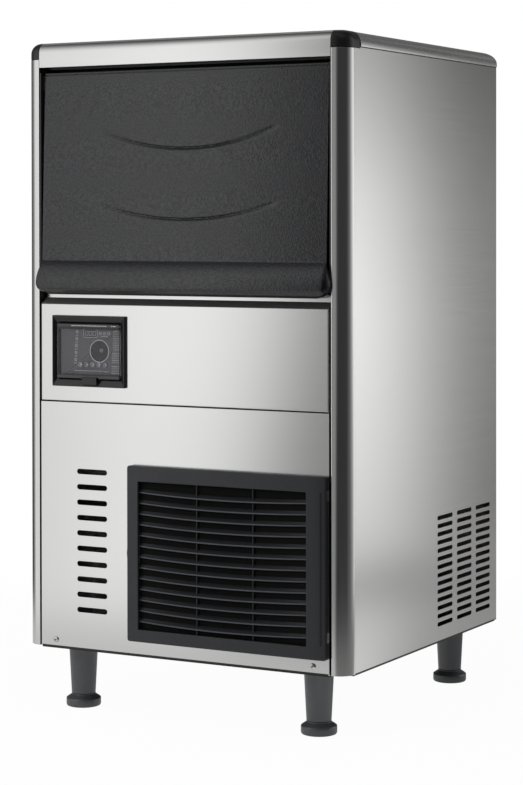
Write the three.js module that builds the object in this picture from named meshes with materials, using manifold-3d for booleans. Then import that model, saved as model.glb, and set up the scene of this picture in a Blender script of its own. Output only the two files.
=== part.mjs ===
// An undercounter ice maker: a steel cabinet on four legs, with an ice bin behind a flap lid,
// and the freezing and cooling parts inside. Millimetres, +Z up, the front faces -Y.
import * as THREE from 'three';
import { mergeVertices } from 'three/addons/utils/BufferGeometryUtils.js';
import Module from 'manifold-3d';

const wasm = await Module();
wasm.setup();

// Cabinet
const cabinetWidth = 450;
const cabinetDepth = 440;
const cabinetHeight = 751; // from the lower edge of the panels to the top of the trims
const legHeight = 79; // from the floor to the lower edge of the panels
const sheet = 1.5;
const seat = 0.3; // clearance of pieces that rest on or in each other
const overrun = 5; // how far a cut runs past what it cuts

// Corner columns
const columnRadius = 20;
const columnFlat = 1;
const columnWall = 2;
const columnReturn = 14;

// Trims and caps round the top
const frontTrimHeight = 31;
const frontTrimDepth = 24;
const trimWall = 2.5;
const trimRound = 13;
const sideTrimHeight = 17;
const sideTrimProud = 1;
const sideTrimEndRound = 9;
const capHeight = 20.6;
const capSideLength = 15;
const topPanelDrop = 1;

// Base pan and side panels
const baseDrop = 2; // the black edge that shows under the panels
const baseInset = 1.8;
const basePlate = 3.2;
const baseFlange = 18;

// Vents in the side panels and the back
const ventRows = 14;
const ventColumns = 3;
const ventLength = 46;
const ventHeight = 5.4;
const ventCorner = 1.6;
const ventPitch = 10.3;
const ventColumnPitch = 60;
const ventRearGap = 45; // from the middle of the last column to the back of the cabinet
const ventLowestRow = 21.8;
const rearVentRows = 9;
const rearVentColumns = 2;
const rearVentPitch = 14;
const rearVentBottom = 105;

// Control fascia and lower front panel
const frontGap = 2.5; // between the front panels and the columns
const panelJoint = 305.5;
const panelJointGap = 1;
const fasciaTop = 424.7;
const foldDepth = 12;
const foldRise = 8.5;
const fasciaFlange = 12;
const panelReturn = 12;
const slotCount = 10;
const slotLength = 44;
const slotHeight = 6.6;
const slotPitch = 19;
const slotLowest = 49;
const slotMarginShare = 0.65; // how much of the space beside the slots lies left of them
const frontScrewInset = 21.5;
const frontScrewZ = 9;
const screwHeadRadius = 3.7;
const screwHeadHeight = 2;
const screwRadius = 1.9;
const screwLength = 9;
const screwSlotWidth = 0.9;
const screwSlotDepth = 0.9;

// Grille cover with its filter, hung on its right edge
const grilleLeftShare = 2 / 15; // of the cabinet's width, left of its middle
const grilleEdgeGap = 3.7; // from the grille's right edge to the column
const grilleBottom = 20;
const grilleTop = 233;
const grilleDepth = 18;
const grilleBow = 4;
const grilleWall = 3;
const grilleCorner = 4;
const grilleBorderSide = 14.5;
const grilleBorderTop = 17;
const grilleBorderBottom = 14;
const louvreCount = 13;
const louvrePitch = 13.1;
const louvreLowest = 44;
const louvreThickness = 2.2;
const louvreBack = 4.2;
const louvreEndReach = 3;
const louvreMiddleReach = 15.5;
const grilleRibWidth = 9;
const grilleRibDepth = 1.6;
const grilleRibShares = [0.35, 0.655];
const filterThickness = 1.5;
const filterMargin = 1;
const cheekSlotWidth = 5.5;
const cheekSlotDepth = 1.6;
const cheekSlotSetback = 2.5;
const hingeRound = 2.6;
const hingePinRadius = 1.2;
const hingeLugHeight = 12;
const hingeLugInset = 24;
const fingerNotchRadius = 35;
const fingerNotchReach = 16;
const fingerNotchHeight = 123.4;
const airOpeningMargin = 10;

// Control unit
const bezelSideGap = 18.15; // from the left edge of the fascia
const controlCentreZ = 369;
const bezelWidth = 108.3;
const bezelHeight = 85;
const bezelProud = 4;
const bezelBevel = 1.2;
const bezelWallDepth = 12;
const bezelWall = 1.7;
const bezelBack = 1.5;
const windowWidth = 91.6;
const windowHeight = 66;
const flapThickness = 1.8;
const flapSetback = 1.4;
const flapPinRadius = 0.8;
const flapPinDrop = 1.7;
const flapTabWidth = 20;
const flapTabHeight = 9.5;
const flapTabOffset = 2;
const membraneDepth = 5; // from the front panel to the membrane
const membraneThickness = 3;
const buttonCount = 5;
const buttonPitch = 8.95;
const buttonRadius = 3;
const buttonProud = 1;
const buttonFlange = 0.9;
const buttonFlangeThickness = 1.2;
const buttonRowX = 1.5; // right of the middle of the control unit
const buttonRowDrop = 17; // below the middle of the control unit
const displayWidth = 21;
const displayHeight = 10.5;
const displayX = 2; // left of the middle of the control unit
const displayRise = 21.5;
const displayRecess = 0.8;

// Lid
const lidSideGap = 6;
const lidTopGap = 6.3;
const lidBottomGap = 5.3;
const lidTopSetback = 3.6;
const lidCreaseProud = 1;
const lidBack = 9;
const lidLipHeight = 3;
const lidLipStep = 0.9;
const rollHeight = 42.5;
const rollReach = 12.7;
const rollFlare = 9.7;
const rollFlareEdge = 0.8;
const rollFlareRear = 0.5;
const rollOutlineShares = [
  [0, 1],
  [0.45, 0.85],
  [0.73, 0.69],
  [0.92, 0.545],
  [1, 0.37],
  [0.94, 0.25],
  [0.73, 0.165],
  [0.43, 0.08],
];
const rollFlareHeightShare = 0.8;
const grooveHalfLength = 110;
const grooveDepth = 1.1;
const grooveHalfHeight = 1.3;
const grooveStations = 20;
const grooveFade = 0.95; // how much of its depth a groove loses at its ends
const upperGrooveRise = 136.6; // above the crease, at the groove's lowest point
const upperGrooveSag = 19;
const lowerGrooveRise = 51;
const lowerGrooveSag = 15;
const lidPinRadius = 4;
const lidPinLength = 3.4;
const lidPinDrop = 12.6;
const lidPinDepth = 14;
const linerPanelThickness = 16;
const linerPanelSideMargin = 13;
const linerPanelTopMargin = 18;
const linerPanelBottomMargin = 14;
const linerPanelRound = 10;

// Door surround
const surroundLip = 2;
const surroundDepth = 15;
const surroundLipFront = 1;
const lugHalfHeight = 9;
const lugFrontReach = 8;

// Ice bin
const linerWall = 4;
const linerSideInset = 29;
const linerFront = 32;
const linerBackInset = 44;
const linerBottom = 252;
const linerTopInset = 39;
const linerSill = 15.5; // above the fascia's face
const linerTopFrame = 8;
const foamFloor = 12;

// Freezing parts
const evaporatorWidth = 220;
const evaporatorHeight = 170;
const evaporatorThickness = 22;
const evaporatorPlate = 3;
const evaporatorStandOff = 40;
const evaporatorTopDrop = 28;
const evaporatorBossRadius = 6;
const cellColumns = 8;
const cellRows = 6;
const cellRib = 3;
const earThickness = 6;
const earDepth = 34;
const earHeight = 24;
const curtainPinRadius = 2.5;
const curtainThickness = 3;
const curtainReach = 6;
const curtainRun = 14; // how far the curtain hangs in front of the cells
const curtainRailRadius = 4;
const distributorHeight = 18;
const distributorDepth = 30;
const distributorWall = 2.5;
const sumpLeft = 130;
const sumpRightMargin = 2;
const sumpDepth = 100;
const sumpHeight = 50;
const sumpWall = 2.5;
const sumpDrop = 20; // between the evaporator and the sump's rim
const pumpMotorRadius = 18;
const pumpMotorHeight = 60;
const pumpPlate = 4;
const pumpTubeRadius = 8;
const pumpTubeLength = 28;
const pumpOffset = 24;
const impellerRadius = 12;
const impellerHubRadius = 5;
const impellerHeight = 8;
const impellerVanes = 6;
const impellerVane = 1.6;
const impellerShaftRadius = 3;
const impellerShaftLength = 20;
const floatValveWidth = 32;
const floatValveDepth = 22;
const floatValveHeight = 18;
const floatPinRadius = 2;
const floatArmThickness = 4;
const floatArmLength = 48;
const floatWidth = 30;
const floatDepth = 26;
const floatHeight = 22;
const floatDrop = 30;
const floatForkDepth = 10;

// Cooling parts
const ductDepth = 9.9;
const ductMargin = 8;
const ductPocketFloor = 2;
const condenserDepth = 44;
const condenserFins = 18;
const condenserFin = 4;
const condenserEndPlate = 3;
const condenserTubeShares = [0.25, 0.75];
const shroudPlate = 3.7;
const shroudRing = 3;
const shroudRingDepth = 28;
const fanRadius = 82;
const fanTipGap = 4;
const fanHubRadius = 20;
const fanDepth = 20;
const fanSetback = 4;
const fanBlades = 5;
const fanBladeThickness = 3;
const fanBladeTwist = 32; // degrees
const fanTwistShares = [1, 0.8, 0.55]; // at the hub, half way and the tip
const fanChordShares = [0.8, 1.2, 1.5];
const fanShaftRadius = 3;
const fanMotorRadius = 26;
const fanMotorLength = 55;
const fanMotorFoot = 24;
const compressorRadius = 72;
const compressorHeight = 175;
const compressorFoot = 6;
const compressorNeckShare = 0.7;
const compressorSideGap = 55;
const compressorRearGap = 40;
const pipeRadius = 4;
const pipeBend = 18;
const dischargeHeight = 120;
const suctionHeight = 90;
const drierRadius = 13;
const drierLength = 110;
const drierNeck = 5;
const electricalWidth = 70;
const electricalDepth = 80;
const electricalHeight = 150;
const electricalFront = 30;

// Rear fittings
const rearReach = 22;
const fittingRadius = 10;
const fittingFlangeRadius = 15;
const fittingFlange = 4;
const fittingBore = 6.5;
const fittingBoreDepth = 16;
const fittingInside = 12;
const inletSideGap = 75;
const inletZ = 62;
const drainSideGap = 135;
const drainZ = 40;
const socketSideGap = 95;
const socketZ = 55;
const socketFlangeWidth = 50;
const socketFlangeHeight = 26;
const socketFlange = 3;
const socketWidth = 30;
const socketHeight = 22;
const socketDepth = 18;
const socketWall = 2;
const bladeWidth = 4;
const bladeThickness = 1.2;
const bladePitch = 7;
const bladeLength = 10;

// Legs and adjustable feet
const frontLegSideInset = 58.4;
const rearLegSideInset = 48.8;
const frontLegY = 41.4;
const rearLegInset = 42;
const legTopRadius = 18.2;
const legNeckRadius = 15;
const footRadius = 21.7;
const footRingHeight = 12.4;
const footFlare = 3.4;
const footChamfer = 1.5;
const studRadius = 7;
const studLength = 34;

// Numbers of sides of round pieces
const fewSides = 8;
const coarseSides = 16;
const sides = 24;
const arcSteps = 3;
const pipeSteps = 12;

// Places worked out from the sizes above
const halfWidth = cabinetWidth / 2;
const columnInner = halfWidth - columnRadius - columnFlat;
const frontReach = grilleDepth + grilleBow;
const frontY = (frontReach - rearReach - cabinetDepth) / 2;
const panelHalf = columnInner - frontGap;
const frontScrewX = panelHalf - frontScrewInset;
const controlCentreX = panelHalf - bezelSideGap - bezelWidth / 2; // left of the middle
const ventFirstColumn = cabinetDepth - ventRearGap - (ventColumns - 1) * ventColumnPitch;
const capBottom = cabinetHeight - capHeight;
const columnTop = capBottom - seat;
const sideTrimDepth = columnRadius + sideTrimProud;
const sideTrimBottom = cabinetHeight - sideTrimHeight;
const topPanelHalf = halfWidth - columnRadius - seat;
const sideInner = halfWidth - sheet;
const backInner = cabinetDepth - sheet;
const baseTop = basePlate - baseDrop;
const lidHalf = columnInner - lidSideGap;
const lidTop = cabinetHeight - frontTrimHeight - lidTopGap;
const lidBottom = fasciaTop + foldRise + lidBottomGap;
const crease = lidBottom + rollHeight;
const lidPinZ = lidTop - lidPinDrop;
const surroundFront = columnReturn + seat;
const surroundBack = surroundFront + surroundDepth;
const lidSwing = Math.hypot(lidPinDepth - lidTopSetback, lidPinDrop);
const surroundBarBottom = lidPinZ + lidSwing + seat;
const linerHalf = halfWidth - linerSideInset;
const linerBack = cabinetDepth - linerBackInset;
const linerTop = cabinetHeight - linerTopInset;
const linerInnerHalf = linerHalf - linerWall;
const linerInnerBack = linerBack - linerWall;
const grilleRight = columnInner - grilleEdgeGap;
const grilleLeft = grilleLeftShare * cabinetWidth; // left of the middle
const grilleHollowRight = grilleRight - grilleWall - 2 * hingeRound;
const openingLeft = grilleLeft - airOpeningMargin;
const openingRight = grilleRight - airOpeningMargin;
const openingBottom = grilleBottom + airOpeningMargin;
const openingTop = grilleTop - airOpeningMargin;
const openingMiddleX = (openingRight - openingLeft) / 2;
const openingMiddleZ = (openingBottom + openingTop) / 2;
const hingeX = grilleRight - hingeRound;
const hingeY = -seat - hingeRound;
const notchX = fingerNotchRadius - grilleLeft - fingerNotchReach;
const slotSpace = panelHalf - grilleLeft - fingerNotchReach - slotLength;
const slotLeft = slotMarginShare * slotSpace - panelHalf;
const windowTop = controlCentreZ + windowHeight / 2;
const flapFront = -bezelProud + flapSetback;
const flapPinZ = windowTop - seat - flapPinDrop;
const flapPinY = flapFront + flapThickness / 2;
const condenserFront = baseInset + ductDepth + seat;
const condenserBack = condenserFront + condenserDepth;
const shroudFront = condenserBack + seat;
const fanFront = shroudFront + shroudPlate + fanSetback;
const fanBack = fanFront + fanDepth;
const evaporatorTop = linerTop - linerWall - evaporatorTopDrop;
const evaporatorBottom = evaporatorTop - evaporatorHeight;
const evaporatorBack = linerInnerBack - evaporatorStandOff;
const evaporatorFront = evaporatorBack - evaporatorThickness;
const curtainY = evaporatorFront - curtainRun;
const sumpTop = evaporatorBottom - sumpDrop;
const sumpBottom = sumpTop - sumpHeight;
const sumpBack = linerInnerBack - seat;
const sumpFront = sumpBack - sumpDepth;
const sumpRight = linerInnerHalf - sumpRightMargin;
const pumpX = sumpRight - pumpOffset;
const pumpY = (sumpFront + sumpBack) / 2;
const impellerTop = sumpTop + pumpPlate - pumpTubeLength - seat;
const floatPinX = -sumpLeft + floatValveWidth / 2 + floatForkDepth / 2;
const floatPinZ = sumpTop + seat + floatValveHeight / 2;
const compressorY = backInner - compressorRearGap - compressorRadius;
const compressorLeft = halfWidth - compressorSideGap - compressorRadius; // left of the middle
const inletX = halfWidth - inletSideGap;
const drainX = halfWidth - drainSideGap;
const socketX = halfWidth - socketSideGap;
const frontLegX = halfWidth - frontLegSideInset;
const rearLegX = halfWidth - rearLegSideInset;
const compartmentTop = linerBottom - foamFloor;

const cabinet = new THREE.Group();
cabinet.position.set(0, frontY, legHeight);

// Finishes
const finishes = {
  steel: finish(0xc9c8c5, 0.32, 0.9),
  aluminium: finish(0xb9babc, 0.28, 0.9),
  galvanised: finish(0xa3a6a8, 0.5, 0.8),
  lidPlastic: finish(0x3f4043, 0.62, 0),
  blackPlastic: finish(0x1c1d1f, 0.45, 0),
  grillePlastic: finish(0x2c2d30, 0.5, 0),
  legPlastic: finish(0x3d4044, 0.55, 0),
  smoked: finish(0x4a4b4e, 0.15, 0),
  membrane: finish(0x55565a, 0.4, 0),
  button: finish(0x6a6b6e, 0.45, 0),
  whitePlastic: finish(0xe6e8ea, 0.4, 0),
  foam: finish(0xe8dcae, 0.9, 0),
  copper: finish(0xb87346, 0.35, 0.9),
  blackMetal: finish(0x17181a, 0.4, 0.3),
  mesh: finish(0x343431, 0.85, 0),
  screw: finish(0x8c8c8c, 0.3, 0.9),
  brass: finish(0xb69a57, 0.35, 0.9),
};

function finish(color, roughness, metalness) {
  return { color, roughness, metalness };
}

// Adds one closed solid to the cabinet under its name
function add(name, look, solid) {
  const mesh = new THREE.Mesh(toGeometry(solid), new THREE.MeshStandardMaterial(look));
  mesh.name = name;
  cabinet.add(mesh);
}

// A solid from a closed geometry, whichever way its triangles face
function toSolid(geometry) {
  geometry.deleteAttribute('normal');
  geometry.deleteAttribute('uv');
  const merged = mergeVertices(geometry);
  const triangles = [];
  const corners = merged.index.array;
  for (let i = 0; i < corners.length; i += 3) {
    const [a, b, c] = corners.slice(i, i + 3);
    if (a !== b && b !== c && c !== a) triangles.push(a, b, c);
  }
  const places = merged.attributes.position.array;
  const solid = solidFrom(places, triangles);
  return solid.volume() > 0 ? solid : solidFrom(places, triangles.reverse());
}

function solidFrom(places, triangles) {
  return new wasm.Manifold(new wasm.Mesh({
    numProp: 3,
    vertProperties: Float32Array.from(places),
    triVerts: Uint32Array.from(triangles),
  }));
}

function toGeometry(solid) {
  const mesh = solid.getMesh();
  const geometry = new THREE.BufferGeometry();
  geometry.setAttribute('position', new THREE.BufferAttribute(mesh.vertProperties, mesh.numProp));
  geometry.setIndex(new THREE.BufferAttribute(mesh.triVerts, 1));
  geometry.computeVertexNormals();
  return geometry;
}

function join(...solids) {
  return solids.reduce((whole, piece) => whole.add(piece));
}

function cut(solid, ...cutters) {
  return cutters.reduce((rest, cutter) => rest.subtract(cutter), solid);
}

// A block between two places on each axis
function block([x0, x1], [y0, y1], [z0, z1]) {
  const geometry = new THREE.BoxGeometry(x1 - x0, y1 - y0, z1 - z0);
  geometry.translate((x0 + x1) / 2, (y0 + y1) / 2, (z0 + z1) / 2);
  return toSolid(geometry);
}

// How a flat outline and its depth lie when a shape runs along an axis
const along = {
  x: [[0, 1, 0], [0, 0, 1], [1, 0, 0]],
  y: [[1, 0, 0], [0, 0, 1], [0, -1, 0]],
  z: [[1, 0, 0], [0, 1, 0], [0, 0, 1]],
};

// A flat outline drawn out along an axis, from one place to another
function slab(axis, shape, [from, to], curveSegments = arcSteps) {
  const depth = to - from;
  const geometry = new THREE.ExtrudeGeometry(shape, { depth, bevelEnabled: false, curveSegments });
  const basis = along[axis].map((direction) => new THREE.Vector3(...direction));
  geometry.applyMatrix4(new THREE.Matrix4().makeBasis(...basis));
  const start = axis === 'y' ? to : from;
  const shift = { x: [start, 0, 0], y: [0, start, 0], z: [0, 0, start] }[axis];
  geometry.translate(...shift);
  return toSolid(geometry);
}

// A slab with slabs of other outlines cut out of it
function pierced(axis, shape, holes, [from, to]) {
  const cutters = holes.map((hole) => slab(axis, hole, [from - overrun, to + overrun]));
  return cut(slab(axis, shape, [from, to]), ...cutters);
}

// A round bar along an axis; its centre is given in the other two axes, in X, Y, Z order
function bar(axis, radius, [from, to], [a, b], count = coarseSides, endRadius = radius) {
  const geometry = new THREE.CylinderGeometry(endRadius, radius, to - from, count);
  const middle = (from + to) / 2;
  if (axis === 'x') geometry.rotateZ(-Math.PI / 2).translate(middle, a, b);
  if (axis === 'y') geometry.translate(a, middle, b);
  if (axis === 'z') geometry.rotateX(Math.PI / 2).translate(a, b, middle);
  return toSolid(geometry);
}

// A profile of [radius, height] points turned about a vertical axis, drawn from bottom to top
function turned(profile, [x, y], count = sides) {
  const points = profile.map(([radius, height]) => new THREE.Vector2(radius, height));
  const geometry = new THREE.LatheGeometry(points, count);
  geometry.rotateX(Math.PI / 2).translate(x, y, 0);
  return toSolid(geometry);
}

// A skin through rings of equal point counts, closed at both ends
function loft(rings) {
  const count = rings[0].length;
  const points = rings.flat();
  const triangles = [];
  rings.slice(1).forEach((ring, row) => {
    for (let i = 0; i < count; i += 1) {
      const next = (i + 1) % count;
      const [a, b] = [row * count + i, row * count + next];
      triangles.push(a, b, b + count, a, b + count, a + count);
    }
  });
  const last = (rings.length - 1) * count;
  for (let i = 1; i < count - 1; i += 1) {
    triangles.push(0, i + 1, i, last, last + i, last + i + 1);
  }
  const geometry = new THREE.BufferGeometry();
  geometry.setAttribute('position', new THREE.Float32BufferAttribute(points.flat(), 3));
  geometry.setIndex(triangles);
  return toSolid(geometry);
}

function rectangle([x0, x1], [y0, y1]) {
  return polygon([[x0, y0], [x1, y0], [x1, y1], [x0, y1]]);
}

function polygon(points) {
  return new THREE.Shape(points.map(([x, y]) => new THREE.Vector2(x, y)));
}

function roundedRectangle([x0, x1], [y0, y1], radius) {
  const shape = new THREE.Shape();
  shape.absarc(x1 - radius, y1 - radius, radius, 0, Math.PI / 2);
  shape.absarc(x0 + radius, y1 - radius, radius, Math.PI / 2, Math.PI);
  shape.absarc(x0 + radius, y0 + radius, radius, Math.PI, 3 * Math.PI / 2);
  shape.absarc(x1 - radius, y0 + radius, radius, 3 * Math.PI / 2, 2 * Math.PI);
  return shape;
}

// A slot with its corners cut off at 45 degrees
function ventSlot(x, z) {
  const [halfLength, halfHeight] = [ventLength / 2, ventHeight / 2];
  const [inX, inZ] = [halfLength - ventCorner, halfHeight - ventCorner];
  const corners = [
    [halfLength, -inZ], [halfLength, inZ], [inX, halfHeight], [-inX, halfHeight],
    [-halfLength, inZ], [-halfLength, -inZ], [-inX, -halfHeight], [inX, -halfHeight],
  ];
  return polygon(corners.map(([dx, dz]) => [x + dx, z + dz]));
}

function mirrored(solid) {
  return solid.mirror([1, 0, 0]);
}

function addPair(name, look, rightSolid) {
  add(`left_${name}`, look, mirrored(rightSolid));
  add(`right_${name}`, look, rightSolid);
}

// The two sheets of a trim round its upper outer edge: [distance in, height]
function trimSection(height, depth) {
  const section = new THREE.Shape();
  section.moveTo(0, 0);
  section.lineTo(0, height - trimRound);
  section.absarc(trimRound, height - trimRound, trimRound, Math.PI, Math.PI / 2, true);
  section.lineTo(depth, height);
  section.lineTo(depth, height - trimWall);
  section.lineTo(trimRound, height - trimWall);
  section.absarc(trimRound, height - trimRound, trimRound - trimWall, Math.PI / 2, Math.PI);
  section.lineTo(trimWall, 0);
  return section;
}

function frontTopTrim() {
  const reach = columnInner - seat;
  const trim = slab('x', trimSection(frontTrimHeight, frontTrimDepth), [-reach, reach]);
  return trim.translate([0, 0, cabinetHeight - frontTrimHeight]);
}

// The right side trim; its section faces +X, so it is drawn facing -Y and turned
function sideTopTrim() {
  const start = columnRadius + capSideLength + seat;
  const trim = slab('x', trimSection(sideTrimHeight, sideTrimDepth), [start, cabinetDepth]);
  const solidEnd = [cabinetDepth - sideTrimEndRound, cabinetDepth];
  const end = slab('x', solidSection([0, sideTrimDepth], sideTrimHeight), solidEnd);
  const turnedTrim = join(trim, end).rotate([0, 0, 90]);
  const outer = halfWidth + sideTrimProud;
  return turnedTrim.translate([outer, 0, sideTrimBottom]).intersect(endRounding());
}

// A block as seen from the side, with its upper rear edge rounded
function endRounding() {
  const outline = new THREE.Shape();
  const [back, top] = [cabinetDepth, cabinetHeight];
  outline.moveTo(0, 0);
  outline.lineTo(back, 0);
  outline.lineTo(back, top - sideTrimEndRound);
  outline.absarc(back - sideTrimEndRound, top - sideTrimEndRound, sideTrimEndRound, 0, Math.PI / 2);
  outline.lineTo(0, top);
  return slab('x', outline, [0, cabinetWidth]);
}

// The right corner cap: a turned quarter over the column, drawn on along the side
function cornerCap() {
  const [x, y] = [halfWidth - columnRadius, columnRadius];
  const ball = turned(capProfile(), [x, y]);
  const quarter = ball.intersect(block([x, halfWidth], [0, y], [capBottom, cabinetHeight]));
  const section = solidSection([0, columnRadius], capHeight);
  const flat = slab('x', section, [columnInner, x + seat]).translate([0, 0, capBottom]);
  const side = slab('x', section, [y - seat, y + capSideLength]).rotate([0, 0, 90]);
  return join(quarter, flat, side.translate([halfWidth, 0, capBottom]));
}

function capProfile() {
  const profile = [[0, capBottom], [columnRadius, capBottom]];
  for (let i = 0; i <= 2 * arcSteps; i += 1) {
    const angle = (i / (2 * arcSteps)) * (Math.PI / 2);
    const radius = columnRadius - trimRound + trimRound * Math.cos(angle);
    profile.push([radius, cabinetHeight - trimRound + trimRound * Math.sin(angle)]);
  }
  profile.push([0, cabinetHeight]);
  return profile;
}

// A full section with its upper outer edge rounded: [distance in, height]
function solidSection([outer, inner], height) {
  const section = new THREE.Shape();
  const roundTop = height - trimRound;
  section.moveTo(outer, 0);
  section.lineTo(outer, roundTop);
  section.absarc(outer + trimRound, roundTop, trimRound, Math.PI, Math.PI / 2, true);
  section.lineTo(inner, height);
  section.lineTo(inner, 0);
  return section;
}

// The right corner column: a quarter round with a return behind its inner edge
function cornerColumn() {
  const [x, y] = [halfWidth - columnRadius, columnRadius];
  const inner = columnRadius - columnWall;
  const section = new THREE.Shape();
  section.moveTo(columnInner, 0);
  section.lineTo(x, 0);
  section.absarc(x, y, columnRadius, -Math.PI / 2, 0);
  section.lineTo(halfWidth - columnWall, y);
  section.absarc(x, y, inner, 0, -Math.PI / 2, true);
  section.lineTo(columnInner + columnWall, columnWall);
  section.lineTo(columnInner + columnWall, columnReturn);
  section.lineTo(columnInner, columnReturn);
  return slab('z', section, [0, columnTop], 2 * arcSteps);
}

function ventHoles(rows, columns, [firstX, pitchX], [firstZ, pitchZ]) {
  const holes = [];
  for (let column = 0; column < columns; column += 1) {
    for (let row = 0; row < rows; row += 1) {
      holes.push(ventSlot(firstX + column * pitchX, firstZ + row * pitchZ));
    }
  }
  return holes;
}

function sidePanel() {
  const top = sideTrimBottom - seat;
  const [front, capBack] = [columnRadius + seat, columnRadius + capSideLength + seat];
  const outline = polygon([
    [front, 0], [cabinetDepth, 0], [cabinetDepth, top],
    [capBack, top], [capBack, columnTop], [front, columnTop],
  ]);
  const holes = ventHoles(
    ventRows,
    ventColumns,
    [ventFirstColumn, ventColumnPitch],
    [ventLowestRow, ventPitch],
  );
  return pierced('x', outline, holes, [sideInner, halfWidth]);
}

function backPanel() {
  const half = sideInner - seat;
  const shoulder = sideTrimBottom - seat;
  const top = cabinetHeight - topPanelDrop - sheet - seat;
  const outline = polygon([
    [-half, 0], [half, 0], [half, shoulder], [topPanelHalf, shoulder],
    [topPanelHalf, top], [-topPanelHalf, top], [-topPanelHalf, shoulder], [-half, shoulder],
  ]);
  const span = ventColumnPitch * (rearVentColumns - 1);
  const holes = ventHoles(
    rearVentRows,
    rearVentColumns,
    [-compressorLeft - span / 2, ventColumnPitch],
    [rearVentBottom, rearVentPitch],
  );
  const holeRadius = fittingRadius + seat;
  const cutDepth = [backInner - overrun, cabinetDepth + overrun];
  return cut(
    pierced('y', outline, holes, [backInner, cabinetDepth]),
    bar('y', holeRadius, cutDepth, [-inletX, inletZ], sides),
    bar('y', holeRadius, cutDepth, [-drainX, drainZ], sides),
    socketBlock(socketWidth + 2 * seat, socketHeight + 2 * seat, cutDepth),
  );
}

function topPanel() {
  const top = cabinetHeight - topPanelDrop;
  const depth = [frontTrimDepth + seat, cabinetDepth];
  return block([-topPanelHalf, topPanelHalf], depth, [top - sheet, top]);
}

// The base pan: a black plate with a flange up behind the front panel
function basePan() {
  const half = sideInner - seat;
  const plate = block([-half, half], [columnRadius + seat, backInner - seat], [-baseDrop, baseTop]);
  const nose = block([-panelHalf, panelHalf], [baseInset, columnRadius + overrun], [-baseDrop, baseTop]);
  const flangeBack = baseInset + sheet;
  const flangeHalf = panelHalf - overrun;
  const flange = block([-flangeHalf, flangeHalf], [baseInset, flangeBack], [0, baseFlange]);
  const holes = [-frontScrewX, frontScrewX].map((x) => screwHole(x));
  return cut(join(plate, nose, flange), ...holes);
}

function screwHole(x) {
  return bar('y', screwRadius + seat, [-overrun, baseInset + sheet + overrun], [x, frontScrewZ]);
}

function frontScrew(x) {
  const head = bar('y', screwHeadRadius, [-seat - screwHeadHeight, -seat], [x, frontScrewZ]);
  const shank = bar('y', screwRadius, [-seat, screwLength], [x, frontScrewZ], fewSides);
  const arm = screwHeadRadius / 2;
  const slotY = [-overrun, -seat - screwHeadHeight + screwSlotDepth];
  const [wide, thin] = [[-arm, arm], [-screwSlotWidth / 2, screwSlotWidth / 2]];
  const across = block(wide, slotY, thin).translate([x, 0, frontScrewZ]);
  const upright = block(thin, slotY, wide).translate([x, 0, frontScrewZ]);
  return cut(join(head, shank), across, upright);
}

// The fascia's sheet as seen from the side: face, fold back and flange up behind the lid
function controlFascia() {
  const bottom = panelJoint + panelJointGap / 2;
  const flangeTop = fasciaTop + foldRise + fasciaFlange;
  const section = polygon([
    [0, bottom], [sheet, bottom], [sheet, fasciaTop - sheet / 2],
    [foldDepth + sheet, fasciaTop + foldRise - sheet / 2], [foldDepth + sheet, flangeTop],
    [foldDepth, flangeTop], [foldDepth, fasciaTop + foldRise], [0, fasciaTop],
  ]);
  const sheetPiece = slab('x', section, [-panelHalf, panelHalf]);
  const clear = bezelWall + seat;
  const cutDepth = [-overrun, sheet + overrun];
  return cut(sheetPiece, controlBlock(windowWidth + 2 * clear, windowHeight + 2 * clear, cutDepth));
}

// A block centred on the control unit
function controlBlock(width, height, depth) {
  const x = [-controlCentreX - width / 2, -controlCentreX + width / 2];
  return block(x, depth, [controlCentreZ - height / 2, controlCentreZ + height / 2]);
}

function frontSlot(row) {
  const z = slotLowest + row * slotPitch;
  const reach = [slotLeft, slotLeft + slotLength];
  return roundedRectangle(reach, [z - slotHeight / 2, z + slotHeight / 2], slotHeight / 2);
}

function lowerFrontPanel() {
  const top = panelJoint - panelJointGap / 2;
  const outline = rectangle([-panelHalf, panelHalf], [0, top]);
  const slots = Array.from({ length: slotCount }, (_, row) => frontSlot(row));
  const face = pierced('y', outline, slots, [0, sheet]);
  const side = block([panelHalf - sheet, panelHalf], [0, panelReturn], [baseTop + seat, top]);
  const cutDepth = [-overrun, sheet + overrun];
  const opening = block([-openingLeft, openingRight], cutDepth, [openingBottom, openingTop]);
  const notch = bar('y', fingerNotchRadius, cutDepth, [notchX, fingerNotchHeight], 2 * sides);
  const screws = [-frontScrewX, frontScrewX].map((x) => screwHole(x));
  const panel = cut(join(face, side, mirrored(side)), opening, notch, ...screws);
  return join(panel, ...hingeHeights().map((z) => hingeLug(z)));
}

// The heights of the two hinges in the grille's right edge
function hingeHeights() {
  return [grilleBottom + hingeLugInset, grilleTop - hingeLugInset];
}

// A lug that stands out of the front panel, with a hole for the grille's pin
function hingeLug(z) {
  const height = [z - hingeLugHeight / 2, z + hingeLugHeight / 2];
  const eye = bar('z', hingeRound, height, [hingeX, hingeY]);
  const neck = block([hingeX - hingeRound, hingeX + hingeRound], [hingeY, sheet], height);
  const hole = [height[0] - overrun, height[1] + overrun];
  return cut(join(eye, neck), bar('z', hingePinRadius + seat, hole, [hingeX, hingeY]));
}

// The grille seen from above: bowed front, straight back, right rear edge rounded for the hinge
function grillePlan(front, inset) {
  const [left, right] = [-grilleLeft + inset, grilleRight - inset];
  const bowRadius = arcRadius(right - left, grilleBow);
  const middle = (left + right) / 2;
  const centreY = -front - grilleBow + bowRadius;
  const half = Math.asin((right - left) / 2 / bowRadius);
  const plan = new THREE.Shape();
  plan.moveTo(left, -seat);
  plan.lineTo(left, -front);
  plan.absarc(middle, centreY, bowRadius, -Math.PI / 2 - half, -Math.PI / 2 + half);
  plan.absarc(hingeX, hingeY, hingeRound - inset, 0, Math.PI / 2);
  return plan;
}

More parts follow.
